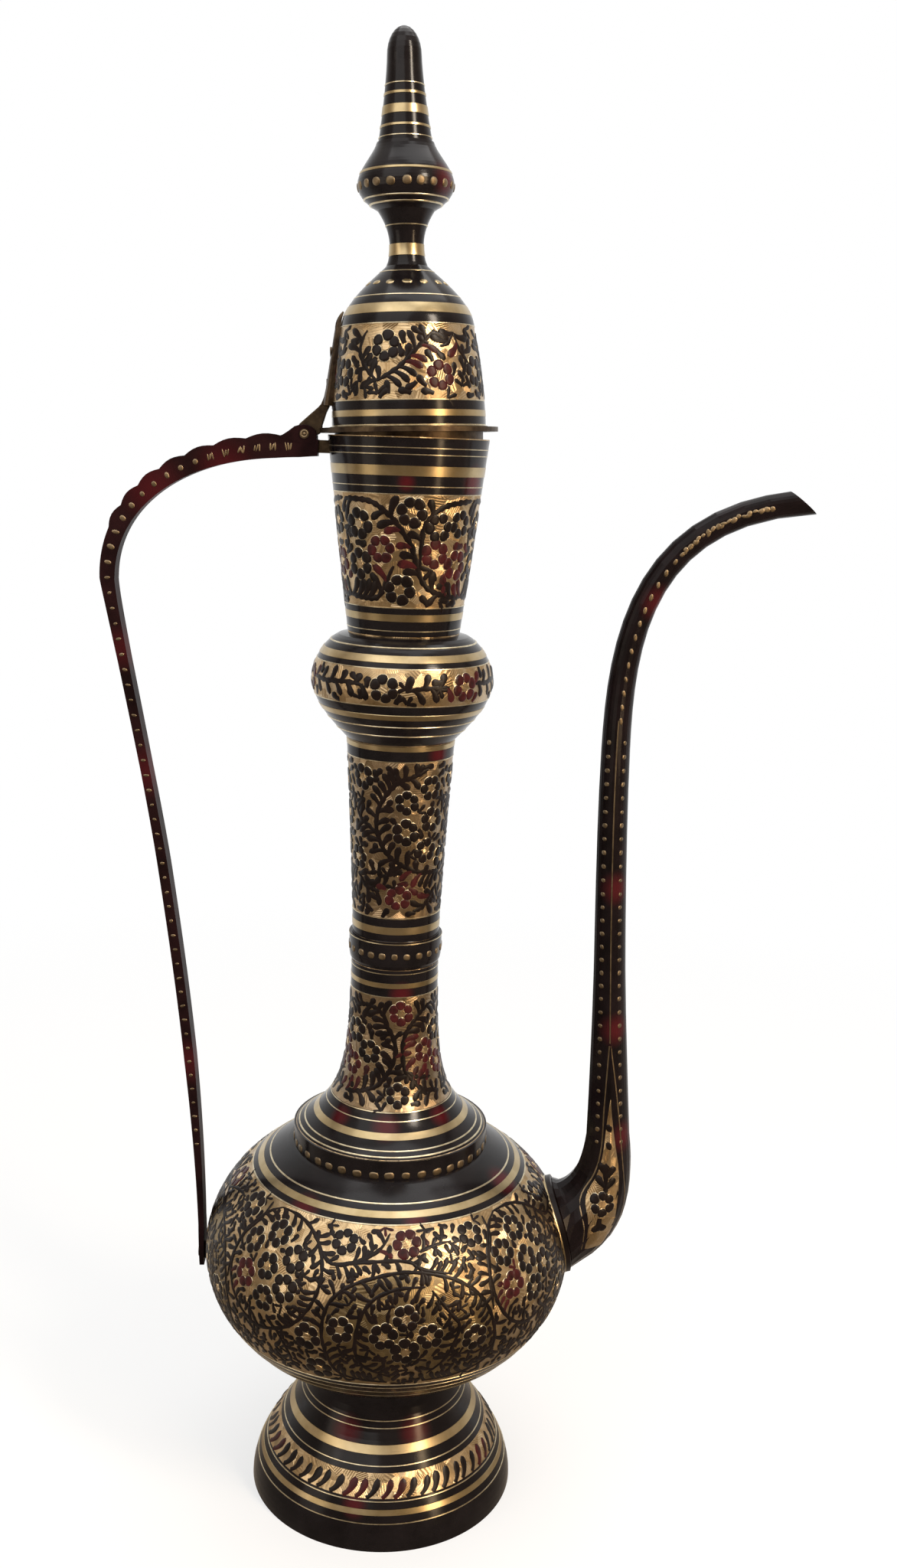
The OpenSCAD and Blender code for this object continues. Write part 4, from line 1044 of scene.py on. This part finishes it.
def roomGlow(tree, kind, white):
    # light of the dim warm room where white is 0, and of the white backdrop where it is 1
    tint = addNode(tree, "ShaderNodeMix",
                   {"data_type": "RGBA", 6: hexColour(room["colour"]), 7: hexColour("#ffffff")}, {0: white})
    level = addNode(tree, "ShaderNodeMapRange", {"To Min": room["dim"]}, {"Value": white})
    return addNode(tree, kind, None,
                   {"Color": tint.outputs[2], "Strength": level.outputs["Result"]}).outputs[0]


# white backdrop; mirrored in the brass it turns to a dim warm room towards the camera's side
room = {"colour": "#ffe5c8", "dim": 0.25, "fill": 0.45}
straightRays = ["Is Camera Ray", "Is Transmission Ray"]
world = bpy.data.worlds.new("whiteStudio")
world.use_nodes = True
sky = world.node_tree
sky.nodes.clear()
skyWay = addNode(sky, "ShaderNodeSeparateXYZ", None,
                 {"Vector": addNode(sky, "ShaderNodeTexCoord").outputs["Generated"]})
overhead = addNode(sky, "ShaderNodeMapRange", {"From Min": 0.25, "From Max": 0.9, "To Max": 0.9},
                   {"Value": skyWay.outputs["Z"]})
behind = addNode(sky, "ShaderNodeMapRange", {"From Min": -0.2, "From Max": 0.7},
                 {"Value": skyWay.outputs["Y"]})
skyWhite = addNode(sky, "ShaderNodeMath", {"operation": "MAXIMUM"},
                   {0: overhead.outputs["Result"], 1: behind.outputs["Result"]}).outputs[0]
lighting = addNode(sky, "ShaderNodeBackground", {"Color": hexColour("#ffffff"), "Strength": room["fill"]})
backdrop = addNode(sky, "ShaderNodeBackground", {"Color": hexColour("#ffffff"), "Strength": 1.0})
unseen = addNode(sky, "ShaderNodeMixShader", None,
                 {0: seenRay(sky, ["Is Glossy Ray"]), 1: lighting.outputs[0],
                  2: roomGlow(sky, "ShaderNodeBackground", skyWhite)})
whole = addNode(sky, "ShaderNodeMixShader", None,
                {0: seenRay(sky, straightRays), 1: unseen.outputs[0], 2: backdrop.outputs[0]})
addNode(sky, "ShaderNodeOutputWorld", None, {"Surface": whole.outputs[0]})
bpy.context.scene.world = world

# white paper floor: it keeps the shadow near the foot and runs out into the white backdrop
floorMesh = bpy.data.meshes.new("paleFloor")
floorMesh.from_pydata([(-6, -6, 0), (6, -6, 0), (6, 6, 0), (-6, 6, 0)], [], [(0, 1, 2, 3)])
floor = bpy.data.objects.new("paleFloor", floorMesh)
floorPaint = bpy.data.materials.new("whitePaper")
floorPaint.use_nodes = True
paperTree = floorPaint.node_tree
paperTree.nodes.clear()
paper = addNode(paperTree, "ShaderNodeBsdfDiffuse", {"Color": hexColour("#f4f3f1")})
floorSpot = addNode(paperTree, "ShaderNodeTexCoord").outputs["Object"]
fromFoot = addNode(paperTree, "ShaderNodeVectorMath", {"operation": "LENGTH"}, {0: floorSpot})
fade = addNode(paperTree, "ShaderNodeMapRange",
               {"From Min": 0.15, "From Max": 0.9, "To Min": 0.65, "To Max": 1.0},
               {"Value": fromFoot.outputs["Value"]})
seen = addNode(paperTree, "ShaderNodeMath", {"operation": "MULTIPLY"},
               {0: fade.outputs["Result"], 1: seenRay(paperTree, straightRays)})
glowing = addNode(paperTree, "ShaderNodeMath", {"operation": "MAXIMUM"},
                  {0: seen.outputs[0], 1: seenRay(paperTree, ["Is Glossy Ray"])})
floorWay = addNode(paperTree, "ShaderNodeSeparateXYZ", None, {"Vector": floorSpot})
farSide = addNode(paperTree, "ShaderNodeMapRange", {"From Min": -0.1, "From Max": 0.5},
                  {"Value": floorWay.outputs["Y"]})
floorWhite = addNode(paperTree, "ShaderNodeMath", {"operation": "MAXIMUM"},
                     {0: farSide.outputs["Result"], 1: seenRay(paperTree, straightRays)}).outputs[0]
mixed = addNode(paperTree, "ShaderNodeMixShader", None,
                {0: glowing.outputs[0], 1: paper.outputs[0],
                 2: roomGlow(paperTree, "ShaderNodeEmission", floorWhite)})
addNode(paperTree, "ShaderNodeOutputMaterial", None, {"Surface": mixed.outputs[0]})
floorMesh.materials.append(floorPaint)
bpy.context.scene.collection.objects.link(floor)
bpy.context.scene.view_settings.view_transform = "Standard"
print("stage set")
